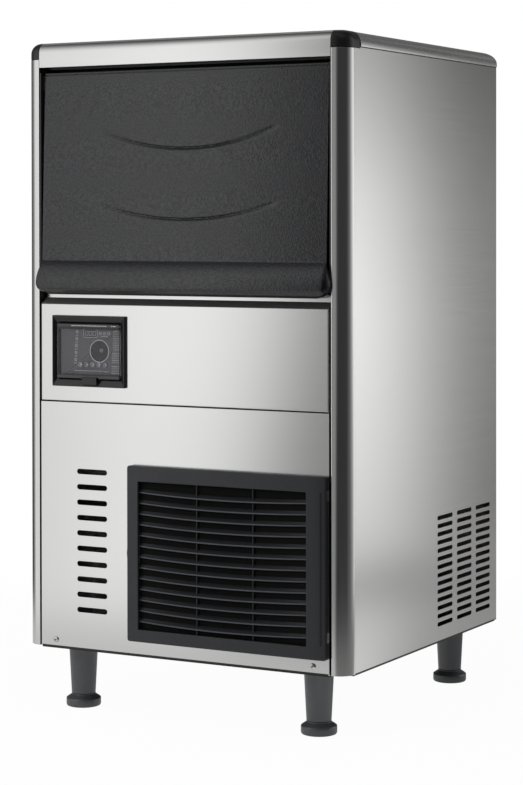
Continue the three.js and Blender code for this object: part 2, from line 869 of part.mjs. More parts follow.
// The radius of an arc from its chord and its height
function arcRadius(chord, height) {
  return (chord * chord / 4 + height * height) / (2 * height);
}

function grilleCover() {
  const height = [grilleBottom, grilleTop];
  const outline = roundedRectangle([-grilleLeft, grilleRight], height, grilleCorner);
  const opening = rectangle(
    [-grilleLeft + grilleBorderSide, grilleRight - grilleBorderSide],
    [grilleBottom + grilleBorderBottom, grilleTop - grilleBorderTop],
  );
  const body = slab('z', grillePlan(grilleDepth, 0), height, 2 * arcSteps);
  const face = body.intersect(pierced('y', outline, [opening], [-frontReach - overrun, 0]));
  const hollow = block(
    [-grilleLeft + grilleWall, grilleHollowRight],
    [-grilleDepth + grilleWall, overrun],
    [grilleBottom + grilleWall, grilleTop - grilleWall],
  );
  const shell = cut(face, hollow, cheekSlot(), ...hingeHeights().map((z) => hingePocket(z)));
  return join(shell, ...louvres(), ...grilleRibs(), ...hingeHeights().map((z) => hingePin(z)));
}

// The long upright slot in the grille's right cheek
function cheekSlot() {
  const front = -grilleDepth + cheekSlotSetback;
  return block(
    [grilleRight - cheekSlotDepth, grilleRight + overrun],
    [front, front + cheekSlotWidth],
    [grilleBottom + grilleBorderBottom, grilleTop - grilleBorderTop],
  );
}

function hingePocket(z) {
  const reach = hingeRound + 2 * seat;
  const height = hingeLugHeight / 2 + seat;
  const width = [hingeX - reach, grilleRight + overrun];
  return block(width, [hingeY - reach, overrun], [z - height, z + height]);
}

function hingePin(z) {
  const reach = hingeLugHeight / 2 + hingePinRadius;
  return bar('z', hingePinRadius, [z - reach, z + reach], [hingeX, hingeY], fewSides);
}

// The louvres: flat slats whose front edges bow out towards the middle
function louvres() {
  const [left, right] = [-grilleLeft + grilleWall / 2, grilleHollowRight + grilleWall / 2];
  const bow = louvreMiddleReach - louvreEndReach;
  const radius = arcRadius(right - left, bow);
  const half = Math.asin((right - left) / 2 / radius);
  const centreY = radius - louvreBack - louvreMiddleReach;
  const plan = new THREE.Shape();
  plan.moveTo(right, -louvreBack);
  plan.lineTo(left, -louvreBack);
  plan.absarc((left + right) / 2, centreY, radius, -Math.PI / 2 - half, -Math.PI / 2 + half);
  return Array.from({ length: louvreCount }, (_, row) => {
    const z = louvreLowest + row * louvrePitch;
    return slab('z', plan, [z - louvreThickness / 2, z + louvreThickness / 2], arcSteps + 1);
  });
}

function grilleRibs() {
  const width = grilleRight + grilleLeft;
  return grilleRibShares.map((share) => {
    const x = -grilleLeft + share * width;
    return block(
      [x - grilleRibWidth / 2, x + grilleRibWidth / 2],
      [-louvreBack - grilleRibDepth / 2, -louvreBack + grilleRibDepth / 2],
      [grilleBottom + grilleWall / 2, grilleTop - grilleWall / 2],
    );
  });
}

function airFilter() {
  const margin = grilleWall + filterMargin;
  return block(
    [-grilleLeft + margin, grilleHollowRight - filterMargin],
    [-2 * seat - filterThickness, -2 * seat],
    [grilleBottom + margin, grilleTop - margin],
  );
}

// The black duct between the front panel and the condenser, with a dish behind the finger notch
function airDuct() {
  const back = baseInset + ductDepth;
  const left = grilleLeft + fingerNotchReach + ductMargin;
  const right = openingRight + ductMargin;
  const plate = block([-left, right], [baseInset, back], [baseFlange + seat, openingTop + ductMargin]);
  const hole = block([-openingLeft, openingRight], [0, back + overrun], [openingBottom, openingTop]);
  const dishDepth = [0, back - ductPocketFloor];
  const dishPlace = [notchX, fingerNotchHeight];
  const dish = bar('y', fingerNotchRadius - seat, dishDepth, dishPlace, 2 * sides);
  return cut(plate, hole, dish);
}

// The control bezel: a frame over the fascia with a box behind it
function controlBezel() {
  const [outerX, outerZ] = [bezelWidth / 2, bezelHeight / 2];
  const [innerX, innerZ] = [windowWidth / 2 + bezelWall, windowHeight / 2 + bezelWall];
  const frame = controlBlock(2 * outerX, 2 * outerZ, [-bezelProud, -seat]);
  const bevel = bevelledWell([outerX - bezelWall, outerZ - bezelWall], [windowWidth / 2, windowHeight / 2]);
  const box = controlBlock(2 * innerX, 2 * innerZ, [-seat - bezelWall, bezelWallDepth]);
  const hollowDepth = [-bezelProud - overrun, bezelWallDepth - bezelBack];
  const hollow = controlBlock(windowWidth, windowHeight, hollowDepth);
  const pins = bar('x', flapPinRadius + seat, flapPinSpan(2 * seat), [flapPinY, flapPinZ]);
  return cut(join(frame, box), bevel, hollow, pins);
}

// A well whose four sides slope in from the bezel's rim to the window
function bevelledWell(rim, window) {
  const corners = [[1, -1], [1, 1], [-1, 1], [-1, -1]];
  const ring = ([x, z], y) => corners.map(([i, k]) => [-controlCentreX + i * x, y, controlCentreZ + k * z]);
  return loft([ring(rim, -bezelProud - seat), ring(window, -bezelProud + bezelBevel)]);
}

function flapPinSpan(extra) {
  const reach = windowWidth / 2 + bezelWall / 2 + extra;
  return [-controlCentreX - reach, -controlCentreX + reach];
}

// The smoked flap over the controls, with its two hinge pins and a finger tab
function controlFlap() {
  const back = flapFront + flapThickness;
  const plate = controlBlock(windowWidth - 2 * seat, windowHeight - 2 * seat, [flapFront, back]);
  const pins = bar('x', flapPinRadius, flapPinSpan(0), [flapPinY, flapPinZ], fewSides);
  const tabX = -controlCentreX - flapTabOffset;
  const tabBottom = windowTop - windowHeight + seat;
  const tabTop = tabBottom + flapThickness;
  const tab = block(
    [tabX - flapTabWidth / 2, tabX + flapTabWidth / 2],
    [-bezelProud - seat - flapThickness, flapFront + flapThickness / 2],
    [tabBottom, tabTop],
  );
  const pull = block(
    [tabX - flapTabWidth / 2, tabX + flapTabWidth / 2],
    [-bezelProud - seat - flapThickness, -bezelProud - seat],
    [tabTop - flapTabHeight, tabTop],
  );
  return join(plate, pins, tab, pull);
}

function buttonPlace(index) {
  const fromMiddle = index - (buttonCount - 1) / 2;
  return [-controlCentreX + buttonRowX + fromMiddle * buttonPitch, controlCentreZ - buttonRowDrop];
}

function controlMembrane() {
  const back = membraneDepth + membraneThickness;
  const plate = controlBlock(windowWidth - 2 * seat, windowHeight - 2 * seat, [membraneDepth, back]);
  const display = controlBlock(displayWidth, displayHeight, [0, membraneDepth + displayRecess]);
  const holes = Array.from({ length: buttonCount }, (_, index) => (
    bar('y', buttonRadius + seat, [0, back + overrun], buttonPlace(index))
  ));
  return cut(plate, display.translate([-displayX, 0, displayRise]), ...holes);
}

function button(index) {
  const back = membraneDepth + membraneThickness + seat;
  const cap = bar('y', buttonRadius, [membraneDepth - buttonProud, back], buttonPlace(index));
  const flangeDepth = [back, back + buttonFlangeThickness];
  const flange = bar('y', buttonRadius + buttonFlange, flangeDepth, buttonPlace(index));
  return join(cap, flange);
}

// The lid's moulded skin: a flat face, a lip along its top and a rolled handle along its bottom
function lidShell() {
  const lipZ = lidTop - lidLipHeight;
  const lipY = lidFaceY(lipZ);
  const outline = polygon([
    [lidBack, lidBottom], [lidBack, lidTop], [lidTopSetback + lidLipStep, lidTop],
    [lipY + lidLipStep, lipZ], [lipY, lipZ], ...rollOutline(), [-lidCreaseProud, lidBottom],
  ]);
  const skin = slab('x', outline, [-lidHalf, lidHalf]);
  const pin = bar('x', lidPinRadius, [lidHalf - overrun, lidHalf + lidPinLength], [lidPinDepth, lidPinZ]);
  const pinBoss = block(
    [lidHalf - overrun, lidHalf],
    [lidBack - seat, lidPinDepth + lidPinRadius],
    [lidPinZ - lidPinRadius, lidPinZ + lidPinRadius],
  );
  const end = join(rollFlarePiece(), pin, pinBoss);
  const grooves = [[upperGrooveRise, upperGrooveSag], [lowerGrooveRise, lowerGrooveSag]];
  return cut(join(skin, end, mirrored(end)), ...grooves.map(([rise, sag]) => lidGroove(rise, sag)));
}

// How far the lid's flat face lies behind the cabinet's front at a height
function lidFaceY(z) {
  const share = (z - crease) / (lidTop - crease);
  return -lidCreaseProud + share * (lidTopSetback + lidCreaseProud);
}

// The rolled handle as seen from the side, from the crease down
function rollOutline() {
  return rollOutlineShares.map(([reach, height]) => [
    -lidCreaseProud - reach * rollReach,
    lidBottom + height * rollHeight,
  ]);
}

// The roll's end, which widens towards the back and stands in front of the column
function rollFlarePiece() {
  const outline = rollOutline();
  const middle = lidBottom + rollHeight / 2;
  const [back, edge] = [-rollFlareRear, -rollFlareRear - rollFlareEdge];
  const full = [...outline, [-lidCreaseProud, lidBottom], [back, lidBottom], [back, crease]];
  const thin = full.map(([y, z]) => [
    y === back ? back : edge,
    middle + rollFlareHeightShare * (z - middle),
  ]);
  const ring = (points, x) => points.map(([y, z]) => [x, y, z]);
  return loft([ring(full, lidHalf - overrun), ring(full, lidHalf), ring(thin, lidHalf + rollFlare)]);
}

// One of the two shallow curved grooves, which thin out towards their ends
function lidGroove(rise, sag) {
  const rings = [];
  for (let i = 0; i <= grooveStations; i += 1) {
    const t = -1 + 2 * i / grooveStations;
    const taper = 1 - grooveFade * t ** 4;
    const z = crease + rise + sag * t * t;
    const y = lidFaceY(z);
    const [deep, tall] = [grooveDepth * taper, grooveHalfHeight * taper];
    const x = t * grooveHalfLength;
    rings.push([[x, y - seat, z - tall], [x, y - seat, z + tall], [x, y + deep, z + tall / 2]]);
  }
  return loft(rings);
}

// The white insulated panel on the lid's inner side
function lidLiner() {
  const half = lidHalf - linerPanelSideMargin;
  const outline = roundedRectangle(
    [-half, half],
    [lidBottom + linerPanelBottomMargin, lidTop - linerPanelTopMargin],
    linerPanelRound,
  );
  const front = lidBack + seat;
  return slab('y', outline, [front, front + linerPanelThickness]);
}

// The black frame round the bin's mouth, with the lugs that hold the lid's pins
function doorSurround() {
  const bottom = fasciaTop + foldRise + fasciaFlange + seat;
  const top = columnTop;
  const lipInner = columnInner - seat - surroundLip;
  const outerHalf = halfWidth - 2 * columnWall;
  const depth = [surroundFront, surroundBack];
  const side = block([lipInner, outerHalf], depth, [bottom, top]);
  const lip = block([lipInner, columnInner - seat], [surroundLipFront, surroundBack], [bottom, lidTop]);
  const lugY = [lidPinDepth - lugFrontReach, surroundBack];
  const lugZ = [lidPinZ - lugHalfHeight, lidPinZ + lugHalfHeight];
  const lug = block([lidHalf + 2 * seat, columnInner - seat], lugY, lugZ);
  const holeReach = [lidHalf, lidHalf + lidPinLength + seat];
  const hole = bar('x', lidPinRadius + seat, holeReach, [lidPinDepth, lidPinZ]);
  const jamb = cut(join(side, lip, lug), hole);
  const head = block([-outerHalf, outerHalf], depth, [surroundBarBottom, top]);
  return join(jamb, mirrored(jamb), head);
}

// The bin's white liner: a tub with a mouth behind the lid and a lip over its sill
function binLiner() {
  const sill = fasciaTop + linerSill;
  const outer = block([-linerHalf, linerHalf], [linerFront, linerBack], [linerBottom, linerTop]);
  const inner = block(
    [-linerInnerHalf, linerInnerHalf],
    [linerFront + linerWall, linerInnerBack],
    [linerBottom + linerWall, linerTop - linerWall],
  );
  const mouth = block(
    [-linerInnerHalf, linerInnerHalf],
    [linerFront - overrun, linerFront + 2 * linerWall],
    [sill, linerTop - linerTopFrame],
  );
  const lipFront = foldDepth + sheet + seat;
  const lip = block([-linerHalf, linerHalf], [lipFront, linerFront + linerWall], [sill - linerWall, sill]);
  return join(cut(outer, inner, mouth), lip);
}

// The foam between the liner and the cabinet
function binInsulation() {
  const half = sideInner - seat;
  const top = cabinetHeight - topPanelDrop - sheet - seat;
  const outer = block([-half, half], [linerFront, backInner - seat], [compartmentTop, top]);
  const hollow = block(
    [-linerHalf - seat, linerHalf + seat],
    [linerFront - overrun, linerBack + seat],
    [linerBottom - seat, linerTop + seat],
  );
  const shoulder = block(
    [columnInner - seat, halfWidth],
    [0, cabinetDepth],
    [columnTop - seat, cabinetHeight],
  );
  return cut(outer, hollow, shoulder, mirrored(shoulder));
}

// The evaporator: a plate with a grid of cells in front, on bosses, with ears for the curtain
function evaporator() {
  const half = evaporatorWidth / 2;
  const grid = rectangle([-half, half], [evaporatorBottom, evaporatorTop]);
  const plateFront = evaporatorBack - evaporatorPlate;
  const front = pierced('y', grid, cells(), [evaporatorFront, plateFront]);
  const plate = block([-half, half], [plateFront, evaporatorBack], [evaporatorBottom, evaporatorTop]);
  const bossReach = [evaporatorBack - evaporatorPlate / 2, linerInnerBack - seat];
  const bossX = half - 3 * evaporatorBossRadius;
  const bossZ = [evaporatorBottom + 3 * evaporatorBossRadius, evaporatorTop - 3 * evaporatorBossRadius];
  const bosses = [-bossX, bossX].flatMap((x) => bossZ.map((z) => (
    bar('y', evaporatorBossRadius, bossReach, [x, z], fewSides)
  )));
  const ear = curtainEar();
  return join(plate, front, ...bosses, ear, mirrored(ear));
}

function cells() {
  const pitchX = (evaporatorWidth - cellRib) / cellColumns;
  const pitchZ = (evaporatorHeight - cellRib) / cellRows;
  const holes = [];
  for (let column = 0; column < cellColumns; column += 1) {
    for (let row = 0; row < cellRows; row += 1) {
      const x = -evaporatorWidth / 2 + cellRib + column * pitchX;
      const z = evaporatorBottom + cellRib + row * pitchZ;
      holes.push(rectangle([x, x + pitchX - cellRib], [z, z + pitchZ - cellRib]));
    }
  }
  return holes;
}

function curtainEar() {
  const half = evaporatorWidth / 2;
  const x = [half - seat, half + earThickness];
  const y = [evaporatorFront - earDepth + overrun, evaporatorBack];
  const plate = block(x, y, [evaporatorTop - earHeight, evaporatorTop]);
  const hole = [half - overrun, half + earThickness + overrun];
  return cut(plate, bar('x', curtainPinRadius + seat, hole, [curtainY, curtainPinZ()]));
}

function curtainPinZ() {
  return evaporatorTop - earHeight / 2;
}

// The curtain that hangs in front of the cells and swings out when ice falls
function waterCurtain() {
  const half = evaporatorWidth / 2 - 2 * seat;
  const z = curtainPinZ();
  const rail = bar('x', curtainRailRadius, [-half, half], [curtainY, z]);
  const reach = half + earThickness;
  const pins = bar('x', curtainPinRadius, [-reach, reach], [curtainY, z], fewSides);
  const front = curtainY - curtainReach;
  const sheetPiece = block([-half, half], [front, front + curtainThickness], [evaporatorBottom, z]);
  const hanger = block([-half, half], [front, curtainY], [z - curtainRailRadius, z]);
  return join(rail, pins, sheetPiece, hanger);
}

// The water distributor along the top of the evaporator
function waterDistributor() {
  const half = evaporatorWidth / 2;
  const bottom = evaporatorTop + seat;
  const depth = [evaporatorBack - distributorDepth, evaporatorBack];
  const trough = block([-half, half], depth, [bottom, bottom + distributorHeight]);
  const inside = [-half + distributorWall, half - distributorWall];
  const hollowY = [depth[0] + distributorWall, depth[1] - distributorWall];
  const hollow = block(inside, hollowY, [bottom + distributorWall, bottom + distributorHeight + overrun]);
  return cut(trough, hollow);
}

// The sump that catches the water under the evaporator
function waterSump() {
  const outer = block([-sumpLeft, sumpRight], [sumpFront, sumpBack], [sumpBottom, sumpTop]);
  const inner = block(
    [-sumpLeft + sumpWall, sumpRight - sumpWall],
    [sumpFront + sumpWall, sumpBack - sumpWall],
    [sumpBottom + sumpWall, sumpTop + overrun],
  );
  return cut(outer, inner);
}

// The pump's motor on its plate over the sump, with a tube for the impeller's shaft
function pumpMotor() {
  const plateBottom = sumpTop + seat;
  const plateTop = plateBottom + pumpPlate;
  const x = [pumpX - pumpMotorRadius, sumpRight];
  const plate = block(x, [sumpFront, sumpBack], [plateBottom, plateTop]);
  const canHeight = [plateTop - seat, plateTop + pumpMotorHeight];
  const can = bar('z', pumpMotorRadius, canHeight, [pumpX, pumpY], sides);
  const tubeBottom = plateTop - pumpTubeLength;
  const tube = bar('z', pumpTubeRadius, [tubeBottom, plateBottom + seat], [pumpX, pumpY]);
  const boreTop = tubeBottom + impellerShaftLength + seat;
  const bore = bar('z', impellerShaftRadius + seat, [tubeBottom - overrun, boreTop], [pumpX, pumpY]);
  return cut(join(plate, can, tube), bore);
}

function pumpImpeller() {
  const bottom = impellerTop - impellerHeight;
  const hub = bar('z', impellerHubRadius, [bottom, impellerTop], [pumpX, pumpY]);
  const shaftHeight = [impellerTop - seat, impellerTop + impellerShaftLength];
  const shaft = bar('z', impellerShaftRadius, shaftHeight, [pumpX, pumpY], fewSides);
  const vane = block([0, impellerRadius], [-impellerVane / 2, impellerVane / 2], [bottom, impellerTop]);
  const vanes = Array.from({ length: impellerVanes }, (_, index) => (
    vane.rotate([0, 0, index * 360 / impellerVanes]).translate([pumpX, pumpY, 0])
  ));
  return join(hub, shaft, ...vanes);
}

// The float valve on the sump's left rim, with a fork for the float's arm
function floatValve() {
  const left = -sumpLeft - floatValveWidth / 2;
  const right = floatPinX - floatForkDepth / 2;
  const bottom = sumpTop + seat;
  const y = [pumpY - floatValveDepth / 2, pumpY + floatValveDepth / 2];
  const height = [bottom, bottom + floatValveHeight];
  const body = block([left, right], y, height);
  const gapHalf = floatArmThickness / 2 + seat;
  const fork = block([right - seat, floatPinX + floatForkDepth / 2], y, height);
  const slotBottom = floatPinZ - floatForkDepth / 2;
  const slot = block(
    [right, floatPinX + floatForkDepth],
    [pumpY - gapHalf, pumpY + gapHalf],
    [slotBottom, linerTop],
  );
  const hole = bar('y', floatPinRadius + seat, [y[0] - overrun, y[1] + overrun], [floatPinX, floatPinZ]);
  return cut(join(body, cut(fork, slot)), hole);
}

// The float with its arm and pin, hanging at its lowest
function floatArm() {
  const halfArm = floatArmThickness / 2;
  const armY = [pumpY - halfArm, pumpY + halfArm];
  const eye = bar('y', floatForkDepth / 2 - seat, armY, [floatPinX, floatPinZ]);
  const pinReach = floatValveDepth / 2;
  const pinY = [pumpY - pinReach, pumpY + pinReach];
  const pin = bar('y', floatPinRadius, pinY, [floatPinX, floatPinZ], fewSides);
  const end = floatPinX + floatArmLength;
  const arm = block([floatPinX, end], armY, [floatPinZ - halfArm, floatPinZ + halfArm]);
  const heelZ = [floatPinZ - floatForkDepth / 2 + seat, floatPinZ];
  const heel = block([floatPinX, floatPinX + floatForkDepth], armY, heelZ);
  const stem = block([end - floatArmThickness, end], armY, [floatPinZ - floatDrop, floatPinZ]);
  const middle = end - halfArm;
  const float = block(
    [middle - floatWidth / 2, middle + floatWidth / 2],
    [pumpY - floatDepth / 2, pumpY + floatDepth / 2],
    [floatPinZ - floatDrop - floatHeight / 2, floatPinZ - floatDrop + floatHeight / 2],
  );
  return join(eye, pin, arm, heel, stem, float);
}

// The condenser: upright fins between two end plates that stand on the base pan
function condenser() {
  const [left, right] = [-openingLeft, openingRight];
  const pitch = (right - left - condenserFin) / (condenserFins - 1);
  const spine = condenserFront + condenserDepth / 2;
  const height = [openingBottom, openingTop];
  const fins = Array.from({ length: condenserFins }, (_, index) => {
    const x = left + index * pitch;
    return block([x, x + condenserFin], [condenserFront, condenserBack], height);
  });
  const tubes = condenserTubeShares.map((share) => {
    const z = openingBottom + share * (openingTop - openingBottom);
    return bar('x', pipeRadius, [left, right], [spine, z], fewSides);
  });
  const feet = [[left, left + condenserEndPlate], [right - condenserEndPlate, right]].map((x) => (
    block(x, [condenserFront, condenserBack], [baseTop + seat, openingTop])
  ));
  return join(...fins, ...tubes, ...feet);
}

function fanCentre() {
  return [openingMiddleX, openingMiddleZ];
}

// The shroud behind the condenser, with a ring round the fan
function fanShroud() {
  const back = shroudFront + shroudPlate;
  const ringBack = shroudFront + shroudRingDepth;
  const plate = block([-openingLeft, openingRight], [shroudFront, back], [baseTop + seat, openingTop]);
  const bore = fanRadius + fanTipGap;
  const ring = bar('y', bore + shroudRing, [shroudFront, ringBack], fanCentre(), 2 * sides);
  return cut(join(plate, ring), bar('y', bore, [0, ringBack + overrun], fanCentre(), 2 * sides));
}

function condenserFan() {
  const hub = bar('y', fanHubRadius, [fanFront, fanBack], fanCentre(), sides);
  const [x, z] = fanCentre();
  const middle = (fanFront + fanBack) / 2;
  const width = fanDepth / Math.sin(THREE.MathUtils.degToRad(fanBladeTwist)) / 2;
  const sweep = THREE.MathUtils.degToRad(360 / fanBlades);
  const blades = Array.from({ length: fanBlades }, (_, index) => {
    const blade = bladeLoft(width);
    return blade.rotate([0, index * THREE.MathUtils.radToDeg(sweep), 0]).translate([x, middle, z]);
  });
  const holeDepth = [fanFront + fanDepth / 4, fanBack + overrun];
  const shaftHole = bar('y', fanShaftRadius + seat, holeDepth, fanCentre());
  return cut(join(hub, ...blades), shaftHole);
}

// One blade along +X, wider and flatter towards its tip
function bladeLoft(width) {
  const half = fanBladeThickness / 2;
  const reaches = [fanHubRadius / 2, fanRadius / 2, fanRadius];
  return loft(reaches.map((reach, station) => {
    const angle = THREE.MathUtils.degToRad(fanBladeTwist * fanTwistShares[station]);
    const halfChord = width * fanChordShares[station] / 2;
    const [tall, deep] = [Math.cos(angle) * halfChord, Math.sin(angle) * halfChord];
    return [
      [reach, deep - half, tall], [reach, -deep - half, -tall],
      [reach, -deep + half, -tall], [reach, deep + half, tall],
    ];
  }));
}

function fanMotor() {
  const front = fanBack + 2 * seat;
  const can = bar('y', fanMotorRadius, [front, front + fanMotorLength], fanCentre(), sides);
  const shaftDepth = [fanFront + fanDepth / 4 + seat, front + seat];
  const shaft = bar('y', fanShaftRadius, shaftDepth, fanCentre(), fewSides);
  const [x, z] = fanCentre();
  const footY = [front + fanMotorLength / 2, front + fanMotorLength];
  const foot = block([x - fanMotorFoot / 2, x + fanMotorFoot / 2], footY, [baseTop + seat, z]);
  return join(can, shaft, foot);
}

// The compressor's domed can on its foot
function compressor() {
  const bottom = baseTop + seat;
  const top = bottom + compressorHeight;
  const dome = compressorRadius / 2;
  const neck = compressorRadius * compressorNeckShare;
  const profile = [[0, bottom], [compressorRadius, bottom], [compressorRadius, bottom + compressorFoot]];
  for (let i = 0; i <= arcSteps; i += 1) {
    const angle = (1 - i / arcSteps) * Math.PI / 2;
    const radius = neck + (compressorRadius - neck) * Math.cos(angle);
    profile.push([radius, bottom + compressorFoot + dome * (1 - Math.sin(angle))]);
  }
  for (let i = 0; i <= 2 * arcSteps; i += 1) {
    const angle = (i / (2 * arcSteps)) * Math.PI / 2;
    profile.push([compressorRadius * Math.cos(angle), top - dome + dome * Math.sin(angle)]);
  }
  return turned(profile, [-compressorLeft, compressorY]);
}

// A pipe along straight runs with rounded bends
function pipe(corners) {
  const points = corners.map((corner) => new THREE.Vector3(...corner));
  const path = new THREE.CurvePath();
  let start = points[0];
  for (let i = 1; i < points.length - 1; i += 1) {
    const [before, at, after] = [points[i - 1], points[i], points[i + 1]];
    const enter = at.clone().add(before.clone().sub(at).setLength(pipeBend));
    const leave = at.clone().add(after.clone().sub(at).setLength(pipeBend));
    path.add(new THREE.LineCurve3(start, enter));
    path.add(new THREE.QuadraticBezierCurve3(enter, at, leave));
    start = leave;
  }
  path.add(new THREE.LineCurve3(start, points[points.length - 1]));
  const section = new THREE.Shape().absarc(0, 0, pipeRadius, 0, 2 * Math.PI);
  const steps = pipeSteps * (points.length - 1);
  const curveSegments = fewSides / 2;
  return toSolid(new THREE.ExtrudeGeometry(section, { steps, extrudePath: path, curveSegments }));
}

// From the compressor's front to the condenser's left end
function dischargePipe() {
  const y = condenserFront + condenserDepth / 2;
  const start = compressorY - compressorRadius - seat;
  const z = openingTop - condenserDepth;
  return pipe([
    [-compressorLeft, start, dischargeHeight],
    [-compressorLeft, y, dischargeHeight],
    [-compressorLeft, y, z],
    [-openingLeft - seat, y, z],
  ]);
}

// From the compressor's right side up into the insulation
function suctionPipe() {
  const x = -compressorLeft + compressorRadius + 2 * pipeBend;
  return pipe([
    [-compressorLeft + compressorRadius + seat, compressorY, suctionHeight],
    [x, compressorY, suctionHeight],
    [x, compressorY, compartmentTop - seat],
  ]);
}

// The filter drier, upright between its pipe stubs behind the fan
function filterDrier() {
  const [x, y] = [openingRight - 3 * drierRadius, compressorY];
  const [low, high] = [baseTop + seat, compartmentTop - seat];
  const middle = (low + high) / 2;
  const [bottom, top] = [middle - drierLength / 2, middle + drierLength / 2];
  return turned([
    [0, low], [pipeRadius, low], [pipeRadius, bottom - drierNeck], [drierRadius, bottom],
    [drierRadius, top], [pipeRadius, top + drierNeck], [pipeRadius, high], [0, high],
  ], [x, y], coarseSides);
}

// The box of the electric parts, in the left front of the machine space
function electricalBox() {
  const left = -sideInner + ductMargin;
  const bottom = baseTop + seat;
  const y = [electricalFront, electricalFront + electricalDepth];
  return block([left, left + electricalWidth], y, [bottom, bottom + electricalHeight]);
}

// A fitting through the back panel, with a blind bore from behind
function rearFitting(x, z) {
  const back = cabinetDepth + rearReach;
  const tube = bar('y', fittingRadius, [backInner - fittingInside, back], [x, z], sides);
  const flangeFront = cabinetDepth + seat;
  const flange = bar('y', fittingFlangeRadius, [flangeFront, flangeFront + fittingFlange], [x, z], sides);
  return cut(join(tube, flange), bar('y', fittingBore, [back - fittingBoreDepth, back + overrun], [x, z]));
}

function socketBlock(width, height, depth) {
  const x = [socketX - width / 2, socketX + width / 2];
  return block(x, depth, [socketZ - height / 2, socketZ + height / 2]);
}

// The power inlet: a flanged socket with three blades
function powerInlet() {
  const flangeFront = cabinetDepth + seat;
  const back = flangeFront + socketFlange;
  const front = back - socketDepth;
  const body = socketBlock(socketWidth, socketHeight, [front, flangeFront + seat]);
  const flange = socketBlock(socketFlangeWidth, socketFlangeHeight, [flangeFront, back]);
  const cavityDepth = [front + socketWall, back + overrun];
  const cavity = socketBlock(socketWidth - 2 * socketWall, socketHeight - 2 * socketWall, cavityDepth);
  const blade = block(
    [socketX - bladeThickness / 2, socketX + bladeThickness / 2],
    [front + socketWall / 2, front + socketWall + bladeLength],
    [socketZ - bladeWidth / 2, socketZ + bladeWidth / 2],
  );
  const places = [[-bladePitch, 0], [0, bladeWidth], [bladePitch, 0]];
  const blades = places.map(([dx, dz]) => blade.translate([dx, 0, dz]));
  return join(cut(join(body, flange), cavity), ...blades);
}

const legPlaces = {
  front_left: [-frontLegX, frontLegY],
  front_right: [frontLegX, frontLegY],
  rear_left: [-rearLegX, cabinetDepth - rearLegInset],
  rear_right: [rearLegX, cabinetDepth - rearLegInset],
};

// A tapered leg with a bore for the foot's stud
function leg(place) {
  const top = -baseDrop - seat;
  const bottom = -legHeight + footRingHeight + footFlare + seat;
  const bore = studRadius + seat;
  return turned([
    [0, bottom + studLength + seat], [bore, bottom + studLength + seat], [bore, bottom],
    [legNeckRadius, bottom], [legTopRadius, top], [0, top],
  ], place, sides);
}

// An adjustable foot: a ring that flares out from the neck, and its stud
function foot(place) {
  const floor = -legHeight;
  const ringTop = floor + footRingHeight;
  const top = ringTop + footFlare;
  return turned([
    [0, floor], [footRadius - footChamfer, floor], [footRadius, floor + footChamfer],
    [footRadius, ringTop - footChamfer / 2], [footRadius - footChamfer / 2, ringTop],
    [legNeckRadius, top], [studRadius, top], [studRadius, top + studLength], [0, top + studLength],
  ], place, sides);
}

add('base_pan', finishes.blackMetal, basePan());
addPair('side_panel', finishes.steel, sidePanel());
add('back_panel', finishes.galvanised, backPanel());
add('top_panel', finishes.steel, topPanel());
add('front_top_trim', finishes.aluminium, frontTopTrim());
addPair('top_trim', finishes.aluminium, sideTopTrim());
addPair('corner_cap', finishes.blackPlastic, cornerCap());
addPair('corner_column', finishes.aluminium, cornerColumn());
add('door_surround', finishes.blackPlastic, doorSurround());
add('control_fascia', finishes.steel, controlFascia());
add('lower_front_panel', finishes.steel, lowerFrontPanel());
add('left_front_screw', finishes.screw, frontScrew(-frontScrewX));
add('right_front_screw', finishes.screw, frontScrew(frontScrewX));
add('control_bezel', finishes.blackPlastic, controlBezel());
add('control_membrane', finishes.membrane, controlMembrane());
for (let index = 0; index < buttonCount; index += 1) {
  add(`button_${index + 1}`, finishes.button, button(index));
}
add('control_flap', finishes.smoked, controlFlap());
add('grille_cover', finishes.grillePlastic, grilleCover());
add('air_filter', finishes.mesh, airFilter());
add('lid_shell', finishes.lidPlastic, lidShell());
add('lid_liner', finishes.whitePlastic, lidLiner());
add('bin_liner', finishes.whitePlastic, binLiner());
add('bin_insulation', finishes.foam, binInsulation());
add('evaporator', finishes.copper, evaporator());
add('water_curtain', finishes.whitePlastic, waterCurtain());
add('water_distributor', finishes.whitePlastic, waterDistributor());
add('water_sump', finishes.whitePlastic, waterSump());
add('pump_motor', finishes.blackPlastic, pumpMotor());
add('pump_impeller', finishes.whitePlastic, pumpImpeller());
add('float_valve', finishes.whitePlastic, floatValve());
add('float_arm', finishes.whitePlastic, floatArm());
add('air_duct', finishes.blackPlastic, airDuct());
add('condenser', finishes.galvanised, condenser());
add('fan_shroud', finishes.galvanised, fanShroud());
add('condenser_fan', finishes.blackPlastic, condenserFan());
add('fan_motor', finishes.blackMetal, fanMotor());
add('compressor', finishes.blackMetal, compressor());
add('discharge_pipe', finishes.copper, dischargePipe());
add('suction_pipe', finishes.copper, suctionPipe());
add('filter_drier', finishes.copper, filterDrier());
add('electrical_box', finishes.galvanised, electricalBox());
add('water_inlet_fitting', finishes.brass, rearFitting(-inletX, inletZ));
add('drain_fitting', finishes.whitePlastic, rearFitting(-drainX, drainZ));
add('power_inlet', finishes.blackPlastic, powerInlet());
for (const [name, place] of Object.entries(legPlaces)) {
  add(`${name}_leg`, finishes.legPlastic, leg(place));
  add(`${name}_foot`, finishes.legPlastic, foot(place));
}

const iceMaker = new THREE.Group();
iceMaker.add(cabinet);

export default iceMaker;
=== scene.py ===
"""Dresses an undercounter ice maker: smooth outer skins, finishes, control graphics and a pale studio."""

